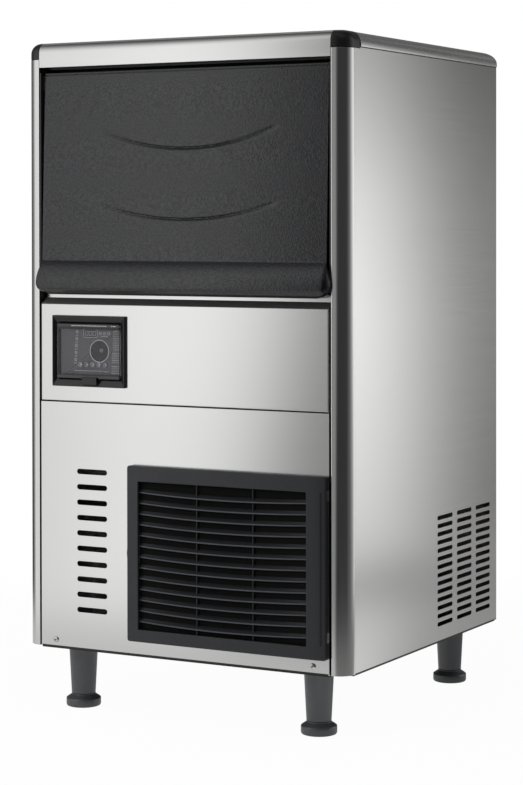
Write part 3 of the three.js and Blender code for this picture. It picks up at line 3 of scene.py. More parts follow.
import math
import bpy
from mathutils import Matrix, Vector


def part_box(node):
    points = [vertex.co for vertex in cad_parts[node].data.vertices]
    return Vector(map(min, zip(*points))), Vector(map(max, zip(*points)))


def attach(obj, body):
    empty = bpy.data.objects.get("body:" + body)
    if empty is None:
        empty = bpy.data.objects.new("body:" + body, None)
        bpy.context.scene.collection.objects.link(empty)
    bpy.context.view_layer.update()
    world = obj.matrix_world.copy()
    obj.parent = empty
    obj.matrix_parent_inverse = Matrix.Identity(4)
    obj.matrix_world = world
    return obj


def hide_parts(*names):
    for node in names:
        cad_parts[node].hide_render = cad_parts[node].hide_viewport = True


bl_info = {
    "name": "Undercounter ice maker",
    "version": (1, 0, 0),
    "blender": (4, 5, 0),
    "location": "3D View > Sidebar > Ice maker",
    "description": "Builds the outer skins, finishes and studio of an undercounter ice maker on its frame",
    "category": "Object",
}

import bpy
from mathutils import Vector

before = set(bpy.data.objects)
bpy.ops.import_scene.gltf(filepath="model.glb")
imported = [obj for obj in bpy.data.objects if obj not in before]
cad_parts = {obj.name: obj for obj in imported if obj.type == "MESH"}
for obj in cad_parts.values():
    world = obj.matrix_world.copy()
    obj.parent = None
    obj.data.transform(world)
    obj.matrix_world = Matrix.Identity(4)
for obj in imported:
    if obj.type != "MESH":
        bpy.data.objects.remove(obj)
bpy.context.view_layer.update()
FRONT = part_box("control_fascia")[0].y
PANEL_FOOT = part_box("left_side_panel")[0].z
SIDES = ((-1, "left"), (1, "right"))  # direction along the width, and name


def place(point):
    """A place in metres from millimetres right of the middle, behind the front and above the panels' foot."""
    x, y, z = point
    return Vector((x / 1000, FRONT + y / 1000, PANEL_FOOT + z / 1000))


def local_box(node):
    """A node's lowest and highest corners in millimetres, measured as place() takes them."""
    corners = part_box(node)
    return [Vector((c.x, c.y - FRONT, c.z - PANEL_FOOT)) * 1000 for c in corners]


# Settings


def length(name, description, default):
    """A length in metres that the sidebar shows in the scene's units."""
    return bpy.props.FloatProperty(
        name=name, description=description, default=default, min=0, unit="LENGTH", subtype="DISTANCE"
    )


def colour(name, description, default):
    """A linear colour that the sidebar shows as a swatch."""
    return bpy.props.FloatVectorProperty(
        name=name, description=description, default=default, size=3, min=0, max=1, subtype="COLOR"
    )


class IceMakerFinishes(bpy.types.PropertyGroup):
    """Colours of the visible materials."""

    steel: colour("Steel", "Brushed sheet of the panels", (0.77, 0.768, 0.76))
    trim: colour("Trim", "Satin aluminium of the trims and columns", (0.77, 0.768, 0.762))
    galvanised: colour("Galvanised", "Zinc-coated sheet of the back and the inner parts", (0.42, 0.43, 0.44))
    lid: colour("Lid", "Grained plastic of the lid", (0.0045, 0.005, 0.007))
    black: colour("Black plastic", "Caps, bezel and door frame", (0.01, 0.01, 0.011))
    grille: colour("Grille", "Charcoal plastic of the grille", (0.02, 0.021, 0.024))
    leg: colour("Legs", "Grey plastic of the legs and feet", (0.044, 0.048, 0.053))
    smoke: colour("Smoked pane", "Tint of the clear flap", (0.7, 0.7, 0.72))
    flap_edge: colour("Flap edge", "Thick smoked edges of the clear flap", (0.045, 0.046, 0.05))
    membrane: colour("Membrane", "Film over the controls", (0.13, 0.13, 0.14))
    dial: colour("Dial", "Dark printed dial on the membrane", (0.012, 0.012, 0.014))
    print_grey: colour("Print", "Printed marks on the membrane", (0.78, 0.78, 0.79))
    white: colour("White plastic", "Liner and water parts", (0.76, 0.78, 0.79))
    copper: colour("Copper", "Pipes and evaporator", (0.62, 0.29, 0.16))


class IceMakerSizes(bpy.types.PropertyGroup):
    """Sizes of the fine details."""

    grain: length("Plastic grain", "Spacing of the grain in the lid's plastic", 0.002)
    groove: length("Lid groove", "Depth of the two curved lines in the lid", 0.0024)
    edge: length("Edge rounding", "Radius at which light rounds the sharp edges", 0.0006)
    print_height: length("Print height", "How far printed marks stand above the film", 0.00006)


class IceMakerStudio(bpy.types.PropertyGroup):
    """Lights and backdrop."""

    key_power: bpy.props.FloatProperty(
        name="Key light", description="Power of the soft light at the front left", default=17, min=0, unit="POWER"
    )
    top_power: bpy.props.FloatProperty(
        name="Top light", description="Power of the soft light overhead", default=20, min=0, unit="POWER"
    )
    ambient: bpy.props.FloatProperty(
        name="Ambient", description="Strength of the even light from all round", default=0.35, min=0
    )


# Meshes


def circle(centre, radius, steps):
    """Points of a full circle."""
    angles = [2 * math.pi * i / steps for i in range(steps)]
    return [(centre[0] + radius * math.cos(a), centre[1] + radius * math.sin(a)) for a in angles]


def arc(centre, radius, start, end, steps):
    """Points of an arc between two angles in degrees."""
    angles = [math.radians(start + (end - start) * i / steps) for i in range(steps + 1)]
    return [(centre[0] + radius * math.cos(a), centre[1] + radius * math.sin(a)) for a in angles]


def rounded_rectangle(x, z, radius, steps):
    """Corner points of a rectangle with round corners, anticlockwise."""
    corners = [(x[1], z[1], 0), (x[0], z[1], 90), (x[0], z[0], 180), (x[1], z[0], 270)]
    line = []
    for cx, cz, angle in corners:
        centre = (cx - math.copysign(radius, cx - sum(x) / 2), cz - math.copysign(radius, cz - sum(z) / 2))
        line.extend(arc(centre, radius, angle, angle + 90, steps))
    return line


def drawn_in(outer, inner, share, inset):
    """The sides of a rectangle part of the way from an outer one to an inner one, and then closer by an inset."""
    sides = []
    for edge, mouth in zip(outer, inner):
        first, last = (a + (b - a) * share for a, b in zip(edge, mouth))
        sides.append((first + inset, last - inset))
    return sides


def curve_through(points, steps):
    """A smooth line through a row of points."""
    ends = [points[0], *points, points[-1]]
    line = []
    for i in range(1, len(ends) - 2):
        p0, p1, p2, p3 = (Vector(p) for p in ends[i - 1 : i + 3])
        for s in range(steps):
            t = s / steps
            spread = 2 * p1 + (p2 - p0) * t + (2 * p0 - 5 * p1 + 4 * p2 - p3) * t * t
            line.append(tuple((spread + (3 * p1 - p0 - 3 * p2 + p3) * t**3) / 2))
    line.append(tuple(points[-1]))
    return line


def facing_rings(profile, centre, steps):
    """Rings of a profile of (radius, depth) points turned about an axis that runs from front to back."""
    return [[(x, y, z) for x, z in circle(centre, radius, steps)] for radius, y in profile]


class Shell:
    """Points and faces of one piece, in millimetres."""

    def __init__(self):
        self.points = []
        self.faces = []

    def loft(self, rings, capped=True):
        """A skin through closed rings of equal point counts."""
        start = len(self.points)
        count = len(rings[0])
        for ring in rings:
            self.points.extend(ring)
        for row in range(len(rings) - 1):
            for i in range(count):
                j = (i + 1) % count
                a, b = start + row * count + i, start + row * count + j
                self.faces.append((a, b, b + count, a + count))
        if capped:
            self.faces.append(tuple(start + i for i in reversed(range(count))))
            last = start + (len(rings) - 1) * count
            self.faces.append(tuple(last + i for i in range(count)))
        return self

    def looped(self, rings):
        """A skin through closed rings, the last of which joins the first."""
        return self.loft(rings + rings[:1], capped=False)

    def across(self, section, ends):
        """A section of (depth, height) points carried along the width."""
        return self.loft([[(x, y, z) for y, z in section] for x in ends])

    def upright(self, plan, heights):
        """A plan of (x, y) points carried upwards."""
        return self.loft([[(x, y, z) for x, y in plan] for z in heights])

    def block(self, x, y, z):
        """A box between two places on each axis."""
        return self.upright([(x[0], y[0]), (x[1], y[0]), (x[1], y[1]), (x[0], y[1])], z)

    def turned(self, profile, centre, steps=64):
        """A profile of (radius, height) points turned about an upright axis."""
        return self.loft([[(x, y, z) for x, y in circle(centre, radius, steps)] for radius, z in profile])

    def disc(self, centre, depth, radius, inner=0, steps=40):
        """A flat ring or disc that faces the front, between two depths."""
        front, back = depth
        edge = [(radius, back), (radius, front)]
        if not inner:
            return self.loft(facing_rings(edge, centre, steps))
        return self.looped(facing_rings([*edge, (inner, front), (inner, back)], centre, steps))


def face_outwards(mesh):
    """Turns each closed skin's faces outwards."""
    holder = bpy.data.objects.new("normals", mesh)
    bpy.context.scene.collection.objects.link(holder)
    bpy.context.view_layer.objects.active = holder
    holder.select_set(True)
    bpy.ops.object.mode_set(mode="EDIT")
    bpy.ops.mesh.select_all(action="SELECT")
    bpy.ops.mesh.normals_make_consistent(inside=False)
    bpy.ops.object.mode_set(mode="OBJECT")
    bpy.data.objects.remove(holder)


def make_piece(name, shell, body, slot, finish, stands_for=(), sharp_angle=35, bevel=0):
    """Turns a shell into an object that rides on a body, has a finish and stands for frame nodes."""
    mesh = bpy.data.meshes.new(name)
    mesh.from_pydata([place(p) for p in shell.points], [], shell.faces)
    mesh.validate()
    face_outwards(mesh)
    mesh.shade_smooth()
    mesh.set_sharp_from_angle(angle=math.radians(sharp_angle))
    mesh.materials.append(finish_of(finish))
    piece = bpy.data.objects.new(name, mesh)
    bpy.context.scene.collection.objects.link(piece)
    if bevel:
        rounding = piece.modifiers.new("Edge rounding", "BEVEL")
        rounding.width = bevel / 1000
        rounding.segments = 2
        rounding.limit_method = "ANGLE"
        rounding.angle_limit = math.radians(sharp_angle)
        rounding.harden_normals = True
    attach(piece, body)
    if stands_for:
        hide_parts(*stands_for)


# Materials


class Nodes:
    """Short calls that add nodes to a material's or a world's tree."""

    def __init__(self, tree):
        self.tree = tree
        kind = "Object" if "Material Output" in tree.nodes else "Generated"
        self.space = self.add("TexCoord").outputs[kind]

    def link(self, source, target):
        self.tree.links.new(source, target)

    def add(self, kind, inputs=None, **settings):
        """A node with its settings; its inputs are given as sockets to link or as values to keep."""
        node = self.tree.nodes.new(f"ShaderNode{kind}")
        for setting, value in settings.items():
            setattr(node, setting, value)
        for key, value in (inputs or {}).items():
            if isinstance(value, bpy.types.NodeSocket):
                self.link(value, node.inputs[key])
            else:
                node.inputs[key].default_value = value
        return node

    def position(self):
        """The object's own or the world's generated x, y and z."""
        return self.add("SeparateXYZ", {0: self.space}).outputs

    def math(self, operation, first, second):
        """A sum of sockets or numbers."""
        return self.add("Math", {0: first, 1: second}, operation=operation).outputs[0]

    def ranged(self, value, low, high, start=0.3, end=0.7, curve="LINEAR"):
        """Maps a texture's usual range, or another one, to the numbers that a socket needs."""
        ends = {"Value": value, "From Min": start, "From Max": end, "To Min": low, "To Max": high}
        return self.add("MapRange", ends, interpolation_type=curve).outputs["Result"]

    def eased(self, value, start, end, low, high):
        """A value carried from one range to another, smoothly and within its ends."""
        return self.ranged(value, low, high, start, end, "SMOOTHSTEP")

    def stops(self, value, levels):
        """Grey levels at places along a value."""
        first, last = levels[0][0], levels[-1][0]
        ramp = self.add("ValToRGB", {"Fac": self.ranged(value, 0, 1, first, last)})
        elements = ramp.color_ramp.elements
        while len(elements) < len(levels):
            elements.new(0.5)
        for element, (position, level) in zip(elements, levels):
            element.position = (position - first) / (last - first)
            element.color = (level, level, level, 1)
        return ramp.outputs["Color"]

    def blended(self, amount, first, second):
        """A colour between two others, by an amount."""
        return self.add("Mix", {0: amount, 6: first, 7: second}, data_type="RGBA").outputs[2]

    def glow(self, kind, strength, colour=(1, 1, 1, 1)):
        """An emitter or background of a strength."""
        return self.add(kind, {"Color": colour, "Strength": strength}).outputs[0]

    def mixed(self, amount, first, second):
        """Two shaders by an amount."""
        return self.add("MixShader", {"Fac": amount, 1: first, 2: second}).outputs[0]


class Finish(Nodes):
    """A node material with one shader, whose sockets are named here with _ for each space."""

    def __init__(self, name, base, metallic=0.0, roughness=0.5, **sockets):
        material = bpy.data.materials.new(f"{name}_finish")
        material.use_nodes = True
        super().__init__(material.node_tree)
        self.shader = self.tree.nodes["Principled BSDF"]
        self.base = (*base, 1)
        plain = {"Base_Color": self.base, "Metallic": metallic, "Roughness": roughness, **sockets}
        for socket, value in plain.items():
            self.shader.inputs[socket.replace("_", " ")].default_value = value

    def feed(self, **sockets):
        """Links nodes to the shader."""
        for socket, value in sockets.items():
            self.link(value, self.shader.inputs[socket.replace("_", " ")])

    def mapped(self, scale):
        """The object's own space, scaled."""
        return self.add("Mapping", {"Vector": self.space, "Scale": scale}).outputs["Vector"]

    def noise(self, scale, detail=3.0, roughness=0.5, stretch=(1, 1, 1)):
        """Noise in the object's own space; scale is in features to the metre."""
        space = self.mapped([scale * s for s in stretch])
        look = {"Vector": space, "Scale": 1, "Detail": detail, "Roughness": roughness}
        return self.add("TexNoise", look).outputs["Fac"]

    def shaded(self, factor):
        """The base colour made lighter or darker."""
        return tuple(min(1, c * factor) for c in self.base[:3]) + (1,)

    def rounded_normal(self):
        """The surface's direction with its edges rounded by the light."""
        return self.add("Bevel", {"Radius": bpy.context.scene.ice_maker_sizes.edge}, samples=4).outputs["Normal"]

    def edge_highlight(self):
        """1 near sharp edges and 0 on flat faces, the mask of a painted highlight along the edges."""
        true_normal = self.add("NewGeometry").outputs["True Normal"]
        turned = self.add("VectorMath", {0: self.rounded_normal(), 1: true_normal}, operation="DOT_PRODUCT")
        return self.ranged(turned.outputs["Value"], 1, 0, 0.75, 0.98)

    def bump(self, height, strength, distance, flat=False):
        """Relief on top of the rounded edges, or of a flat sheet as it is."""
        relief = {"Strength": strength, "Distance": distance, "Height": height}
        if not flat:
            relief["Normal"] = self.rounded_normal()
        self.feed(Normal=self.add("Bump", relief).outputs["Normal"])


def brushed_metal(name, base, roughness, stretch, streak=1.0, flat=False):
    """Metal with long fine scratches and faint smudges, and a painted highlight on its edges where it isn't a flat
    sheet.
    """
    finish = Finish(name, base, metallic=1.0, roughness=roughness)
    scratches = finish.noise(1100, detail=4, roughness=0.65, stretch=stretch)
    smudges = finish.noise(9, detail=3)
    dark, pale = finish.shaded(1 - 0.05 * streak), finish.shaded(1 + 0.04 * streak)
    sheet = finish.blended(finish.ranged(scratches, 0, 1), dark, pale)
    tone = finish.blended(finish.ranged(smudges, 0, 0.25), sheet, finish.shaded(0.97))
    if not flat:
        # Painted highlight: the colour turns paler along the edges.
        tone = finish.blended(finish.edge_highlight(), tone, finish.shaded(1.12))
    finish.feed(Base_Color=tone)
    finish.feed(Roughness=finish.ranged(scratches, roughness - 0.05 * streak, roughness + 0.07 * streak))
    finish.bump(scratches, 0.12 * streak, 0.00006, flat)


def spangled_metal(name, base, roughness=0.45):
    """Zinc-coated sheet with its flake pattern."""
    finish = Finish(name, base, metallic=0.9, roughness=roughness)
    flakes = finish.add("TexVoronoi", {"Vector": finish.mapped((70, 70, 70)), "Scale": 1}).outputs["Distance"]
    tone = finish.ranged(flakes, 0, 1, 0.1, 0.8)
    finish.feed(Base_Color=finish.blended(tone, finish.shaded(1.12), finish.shaded(0.85)))
    finish.feed(Roughness=finish.ranged(flakes, roughness - 0.08, roughness + 0.1, 0.1, 0.8))
    finish.bump(finish.noise(400, detail=2), 0.1, 0.0001, flat=True)


def grained_plastic(name, base, roughness, grain, depth, contrast=0.12, **sockets):
    """Moulded plastic with a fine grain, and a paler painted highlight along its edges."""
    finish = Finish(name, base, roughness=roughness, **sockets)
    relief = finish.noise(1 / grain, detail=2, roughness=0.55)
    patches = finish.noise(25, detail=2)
    tone = finish.blended(finish.ranged(relief, 0, 1), finish.shaded(1 - contrast), finish.shaded(1 + contrast))
    # Painted highlight: the colour turns paler along the edges.
    finish.feed(Base_Color=finish.blended(finish.edge_highlight(), tone, finish.shaded(1.25)))
    finish.feed(Roughness=finish.ranged(patches, roughness - 0.04, roughness + 0.05))
    gleam = finish.ranged(relief, 0.5 - 0.4 * contrast, 0.5 + 0.4 * contrast, 0.36, 0.64)
    finish.feed(Specular_IOR_Level=gleam)
    finish.bump(relief, 0.55, depth)


def painted_metal(name, base, roughness=0.4):
    """Black paint with slight orange peel and dust."""
    finish = Finish(name, base, roughness=roughness)
    dust = finish.noise(30, detail=4)
    finish.feed(Base_Color=finish.blended(finish.ranged(dust, 0, 0.5), finish.base, finish.shaded(1.5)))
    finish.feed(Roughness=finish.ranged(dust, roughness - 0.06, roughness + 0.12))
    finish.bump(finish.noise(350, detail=2), 0.25, 0.0001)


def warm_metal(name, base, roughness=0.3):
    """Copper or brass, with darker tarnish in patches."""
    finish = Finish(name, base, metallic=1.0, roughness=roughness)
    tarnish = finish.noise(40, detail=4)
    finish.feed(Base_Color=finish.blended(finish.ranged(tarnish, 0, 1), finish.shaded(0.7), finish.shaded(1.08)))
    finish.feed(Roughness=finish.ranged(tarnish, roughness - 0.08, roughness + 0.15))
    finish.bump(finish.noise(500, detail=2), 0.1, 0.0001)


def rigid_foam(name, base):
    """Cut foam with small open cells, and painted shade that blackens its front edge."""
    finish = Finish(name, base, roughness=0.9)
    cells = finish.noise(700, detail=3)
    tone = finish.blended(finish.ranged(cells, 0, 1), finish.shaded(0.82), finish.shaded(1.05))
    # Painted shade: black over the foam's front edge, which shows in a shaded gap.
    painted = finish.ranged(finish.position()["Y"], 1, 0, -0.178, -0.174)
    finish.feed(Base_Color=finish.blended(painted, tone, (0.008, 0.008, 0.008, 1)))
    finish.bump(cells, 0.6, 0.0005)


def woven_mesh(name, base, pitch=0.0016):
    """Square woven filter cloth: round threads over and under each other."""
    finish = Finish(name, base, roughness=0.8, Specular_IOR_Level=0.1)
    look = {"Vector": finish.space, "Scale": 0.314 / pitch, "Distortion": 0.2}
    waves = [finish.add("TexWave", look, bands_direction=axis).outputs["Fac"] for axis in "XZ"]
    threads = finish.math("MAXIMUM", *waves)
    tone = finish.ranged(threads, 0, 1, 0.4, 0.95)
    finish.feed(Base_Color=finish.blended(tone, finish.shaded(0.25), finish.shaded(1.3)))
    finish.bump(threads, 0.6, 0.0004)


def smoked_clear(name, base):
    """Clear smoked plastic with a faint haze."""
    finish = Finish(name, base, roughness=0.06, IOR=1.36, Transmission_Weight=1.0)
    finish.feed(Roughness=finish.ranged(finish.noise(60, detail=3), 0.04, 0.1))


def printed(name, base, roughness=0.5):
    """Screen-printed ink."""
    finish = Finish(name, base, roughness=roughness)
    ink = finish.ranged(finish.noise(1500, detail=2), 0, 1)
    finish.feed(Base_Color=finish.blended(ink, finish.shaded(0.9), finish.shaded(1.08)))


def build_materials():
    """Makes all finishes, once; each is named by what it covers."""
    if "steel_finish" in bpy.data.materials:
        return
    tint = bpy.context.scene.ice_maker_finishes
    grain = bpy.context.scene.ice_maker_sizes.grain
    sheet = {"stretch": (0.01, 0.01, 1), "streak": 0.22, "flat": True}
    brushed_metal("steel", tint.steel, 0.21, **sheet)
    # A darker copy of the steel for the fascia's sloping fold: painted shade.
    brushed_metal("shaded_bent_steel", tuple(0.66 * c for c in tint.steel), 0.49, **sheet)
    brushed_metal("trim_aluminium", tint.trim, 0.24, (0.012, 1, 1), streak=0.45)
    brushed_metal("column_aluminium", tint.trim, 0.2, (1, 1, 0.012), streak=0.45)
    brushed_metal("side_trim_aluminium", tint.trim, 0.26, (1, 0.012, 1), streak=0.45)
    brushed_metal("screw_steel", (0.72, 0.72, 0.72), 0.16, (1, 1, 1))
    spangled_metal("galvanised", tint.galvanised)
    grained_plastic("lid_plastic", tint.lid, 0.17, grain, depth=0.0006, contrast=0.26, IOR=1.63)
    grained_plastic("black_plastic", tint.black, 0.3, 0.0008, depth=0.00008)
    grained_plastic("bezel_plastic", tint.black, 0.2, 0.0008, depth=0.00005)
    grained_plastic("flap_edge_plastic", tint.flap_edge, 0.25, 0.0006, depth=0.00003, contrast=0.05)
    grained_plastic("grille_plastic", tint.grille, 0.42, 0.0009, depth=0.0001)
    # A darker copy of the grille's plastic for the louvres and ribs: painted shade on their faces.
    grained_plastic("louvre_shaded_plastic", tuple(0.8 * c for c in tint.grille), 0.42, 0.0009, depth=0.0001, IOR=1.38)
    # A paler copy of the grille's plastic for a strip along each louvre's nose: painted highlight.
    grained_plastic("nose_highlight_plastic", tuple(3.2 * c for c in tint.grille), 0.4, 0.0009, depth=0.0001)
    grained_plastic("leg_plastic", tint.leg, 0.34, 0.001, depth=0.00012, IOR=1.8)
    grained_plastic("membrane", tint.membrane, 0.4, 0.0004, depth=0.00002, contrast=0.05)
    grained_plastic("white_plastic", tint.white, 0.3, 0.002, depth=0.00008, contrast=0.02)
    smoked_clear("smoked_plastic", tint.smoke)
    rigid_foam("foam", (0.8, 0.7, 0.42))
    warm_metal("copper", tint.copper)
    warm_metal("brass", (0.6, 0.43, 0.17))
    painted_metal("black_metal", (0.012, 0.012, 0.013))
    # The filter's near-black colour is darker than its own: painted shade of the deep space behind the louvres.
    woven_mesh("filter_mesh", (0.006, 0.006, 0.0055))
    printed("control_print", tint.print_grey)
    printed("dial_print", tint.dial)
    printed("display_glass", (0.09, 0.09, 0.094), roughness=0.2)


def finish_of(name):
    """A finish by its name; the first call makes them all."""
    build_materials()
    return bpy.data.materials[f"{name}_finish"]


def dress_nodes(finish, *nodes):
    """Gives frame nodes' own meshes a finish."""
    for node in nodes:
        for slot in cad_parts[node].material_slots:
            slot.material = finish_of(finish)


# Lid

LID_HALF = 199.0
LID_FACE = (481.0, 713.7)
LID_BACK = 9.0
PIN_AXIS = (14.0, 701.1)
PIN_RADIUS = 4.0
# The roll's outline from the face to its foot, (depth, height), and how far its ends stand out at each height
ROLL_OUTLINE = [(-1, 481), (-5.2, 475.6), (-8.6, 469.8), (-11.2, 463.6), (-12.9, 457.6), (-13.7, 451.8),
                (-13.1, 447.4), (-10.8, 444.0), (-6.8, 441.2), (-1, 438.5)]
ROLL_FRONT_ENDS = [(481, 0), (468, -0.5), (459, -1.0), (451, -1.8), (445.5, -3.4), (441.8, -6.2), (439.7, -9.4),
                   (438.5, -14)]
ROLL_BACK_ENDS = [(481, 0), (473, 1.8), (467, 4.0), (461, 5.8), (455, 6.8), (450, 6.5), (446.2, 4.6), (443, 1.2),
                  (440.4, -4.2), (438.5, -13)]
# The two curved lines: (lowest height, rise towards the ends), and where they run along the width
GROOVES = [(617.6, 25.0), (532.0, 19.7)]
GROOVE_HALF = 126.0
GROOVE_MIDDLE = 6.0


def lid_face_depth(z):
    """How far the lid's leaning face lies behind the front at a height."""
    share = (z - LID_FACE[0]) / (LID_FACE[1] - LID_FACE[0])
    return -1 + 7.2 * share


def groove_depth(x, z):
    """Depth of the two curved lines, stepped above and soft below."""
    deep = bpy.context.scene.ice_maker_sizes.groove * 1000
    across = (x - GROOVE_MIDDLE) / GROOVE_HALF
    if abs(across) >= 1:
        return 0.0
    total = 0.0
    for lowest, sag in GROOVES:
        off = z - (lowest + sag * across * across)
        width = 0.7 if off > 0 else 2.8
        total += deep * (1 - across**2) ** 0.3 * math.exp(-((off / width) ** 2))
    return total


def lid_heights():
    """Heights of the lid face's rows, close together where the grooves run."""
    heights = [LID_FACE[1] - 5]
    while heights[-1] > LID_FACE[0] + 5:
        z = heights[-1]
        near = any(lowest - 5 < z < lowest + sag + 3 for lowest, sag in GROOVES)
        heights.append(z - (0.6 if near else 4))
    return heights


def at_height(table, z):
    """A value read off a table of (height, value) pairs that runs downwards."""
    if z >= table[0][0]:
        return table[0][1]
    for (high, first), (low, second) in zip(table, table[1:]):
        if z >= low:
            return first + (second - first) * (high - z) / (high - low)
    return table[-1][1]


def lid_ring(z, depth, roll):
    """The closed outline of the lid's face or its roll at one height, seen from above."""
    count = 96
    half = LID_HALF + at_height(ROLL_FRONT_ENDS, z) if roll else LID_HALF
    outer = LID_HALF + at_height(ROLL_BACK_ENDS, z) if roll else LID_HALF
    front = []
    for i in range(count + 1):
        x = -half + 2 * half * i / count
        front.append((x, depth + (0 if roll else groove_depth(x, z)), z))
    behind = max(depth, -0.5)
    right = []
    for t in (0.08, 0.2, 0.4, 0.6, 0.8, 0.93, 1.0):
        bulge = math.sin(t * math.pi / 2)
        x = half + (outer - half) * (0.75 * bulge + 0.25 * t)
        right.append((x, depth + (behind - depth) * (1 - math.cos(t * math.pi / 2)), z))
    inner = min(outer, LID_HALF)
    right += [(inner, behind + 0.4, z), (inner, LID_BACK, z)]
    return front + right + [(-x, y, z) for x, y, _ in reversed(right)]


def lid_rings():
    """The lid's outlines from its rounded top edge and the thin line under it to the foot of the roll."""
    top = LID_FACE[1]
    face = lid_face_depth(top - 3)
    rows = [(top, face + 1.7), (top - 0.15, face + 0.8), (top - 0.6, face + 0.4), (top - 1.0, face + 0.15)]
    rows += [(top - 2.8, face), (top - 3.0, face + 1.2), (top - 3.8, face + 1.2), (top - 4.0, face + 0.1)]
    rows += [(z, lid_face_depth(z)) for z in lid_heights()]
    rings = [lid_ring(z, depth, roll=False) for z, depth in rows]
    return rings + [lid_ring(z, depth, roll=True) for depth, z in curve_through(ROLL_OUTLINE, 4)]


class ICEMAKER_OT_lid(bpy.types.Operator):
    """Build the grained lid with its rolled handle, two curved lines and hinge pins"""

    bl_idname = "icemaker.lid"
    bl_label = "Lid"

    def execute(self, context):
        shell = Shell().loft(lid_rings())
        boss, pin_tip = (193.2, 197.8), 201.2  # places along the width
        for side, _ in reversed(SIDES):
            shell.block(sorted(side * x for x in boss), (8, 18), (PIN_AXIS[1] - 4, PIN_AXIS[1] + 4))
            shell.across(circle(PIN_AXIS, PIN_RADIUS, 24), (side * boss[0], side * pin_tip))
        make_piece("lid_skin", shell, "lid", "lid_plastic", "lid_plastic", ["lid_shell"], sharp_angle=38)
        dress_nodes("white_plastic", "lid_liner")
        return {"FINISHED"}


# Trims, columns and caps

# Where the side trims lap over the side panels: how near they come to the middle, and up to what height
LAP_NEAREST = 225.1
LAP_TOP = 733.9


def trim_section(height, depth, radius=13.0, wall=2.5):
    """A trim's folded section: (distance in, height), its upper outer edge rounded."""
    outer = arc((radius, height - radius), radius, 180, 90, 14)
    inner = arc((radius, height - radius), radius - wall, 90, 180, 14)
    lip = [(0.5, 0), (0.12, 0.15), (0, 0.5)]
    return [*lip, *outer, (depth, height), (depth, height - wall), *inner, (wall, 0)]


def side_trim_rings(side):
    """The side trim's sections from front to back, its rear end rounded down."""
    low, high = local_box("right_top_trim")
    foot = low.z - 1.5
    section = trim_section(high.z - foot, high.x - low.x, 16.0)
    reach, fall = 16.0, 10.0
    places = [(low.y, 0), (high.y - reach, 0)]
    for turn in range(9, 91, 9):
        angle = math.radians(turn)
        places.append((high.y - reach * (1 - math.sin(angle)), fall * (1 - math.cos(angle))))
    rings = []
    for y, drop in places:
        ring = []
        for inwards, up in section:
            x = max(high.x - inwards, LAP_NEAREST if foot + up < LAP_TOP else 0)
            ring.append((side * x, y, min(foot + up, high.z - drop)))
        rings.append(ring)
    return rings


class ICEMAKER_OT_trims(bpy.types.Operator):
    """Build the front and side trims round the top"""

    bl_idname = "icemaker.trims"
    bl_label = "Top trims"

    def execute(self, context):
        low, high = local_box("front_top_trim")
        section = [(y, low.z + up) for y, up in trim_section(high.z - low.z, high.y - low.y)]
        shell = Shell().across(section, (low.x, high.x))
        make_piece("front_trim_skin", shell, "cabinet", "trim_aluminium", "trim_aluminium", ["front_top_trim"])
        for side, name in SIDES:
            node = f"{name}_top_trim"
            end = local_box(node)[1].y
            shell = Shell().loft(side_trim_rings(side))
            filling = sorted((side * 208, side * 223))
            shell.block(filling, (end - 9, end - 4.2), (734.4, 742))
            make_piece(f"{name}_trim_skin", shell, "cabinet", "trim_aluminium", "side_trim_aluminium", [node])
        return {"FINISHED"}


CORNER_CENTRE = (205.0, 20.0)
CORNER_RADIUS = 20.0


def corner_path(inner_x, length_back):
    """The plan of a round corner: (x, y, inward x, inward y) from the front to the side."""
    path = [(inner_x, 0.0, 0.0, 1.0)]
    for x, y in arc((0, 0), 1, -90, 0, 20):
        path.append((CORNER_CENTRE[0] + CORNER_RADIUS * x, CORNER_CENTRE[1] + CORNER_RADIUS * y, -x, -y))
    path.append((CORNER_CENTRE[0] + CORNER_RADIUS, length_back, -1.0, 0.0))
    return path


def cap_rings(side):
    """The corner cap's sections along its plan, each domed over."""
    low, high = local_box("right_corner_cap")
    section = [(0.6, low.z), (0, low.z + 0.6), *arc((13, high.z - 13), 13, 180, 90, 12), (20, high.z), (20, low.z)]
    rings = []
    for x, y, nx, ny in corner_path(low.x, high.y):
        rings.append([(side * (x + nx * inwards), y + ny * inwards, z) for inwards, z in section])
    return rings


def column_plan(side, edge):
    """The column's sheet in plan, bent round the corner and back in beside the door."""
    bend = arc(CORNER_CENTRE, CORNER_RADIUS, -90, 0, 28)[1:]
    outer = [(edge - 0.3, 0.6), (edge - 0.2, 0.15), (edge + 0.1, 0), (205.2, 0.0), *bend]
    bend_back = arc(CORNER_CENTRE, CORNER_RADIUS - 2, 0, -90, 28)[1:]
    inner = [(223.0, 20.0), *bend_back, (edge + 1.6, 2), (edge + 1.6, 14), (edge, 14), (edge, 1)]
    return [(side * x, y) for x, y in outer + inner]


class ICEMAKER_OT_corners(bpy.types.Operator):
    """Build the round corner columns and the black caps on them"""

    bl_idname = "icemaker.corners"
    bl_label = "Corner columns and caps"

    def execute(self, context):
        low, high = local_box("right_corner_column")
        edge, heights = low.x + 0.4, (low.z, high.z)
        for side, name in SIDES:
            cap = Shell().loft(cap_rings(side))
            make_piece(f"{name}_cap_skin", cap, "cabinet", "black_plastic", "black_plastic", [f"{name}_corner_cap"])
            column = f"{name}_corner_column"
            shell = Shell().upright(column_plan(side, edge), heights)
            make_piece(f"{name}_column_skin", shell, "cabinet", "trim_aluminium", "column_aluminium", [column])
            # Painted shade: a black strip on the column's inner return, where it lies in shade beside the door.
            dark = [(side * x, y) for x, y in ((low.x, 1.4), (edge, 1.0), (edge, 14), (low.x, 14))]
            shell = Shell().upright(dark, heights)
            make_piece(f"{name}_shaded_column_return", shell, "cabinet", "trim_aluminium", "black_metal", [column])
        return {"FINISHED"}


# Panels

SHEET = 1.5
FLANGE_DEPTH = 12.0
FOLD = (426.0, 434.1)  # heights between which the fascia's top slopes back to its flange


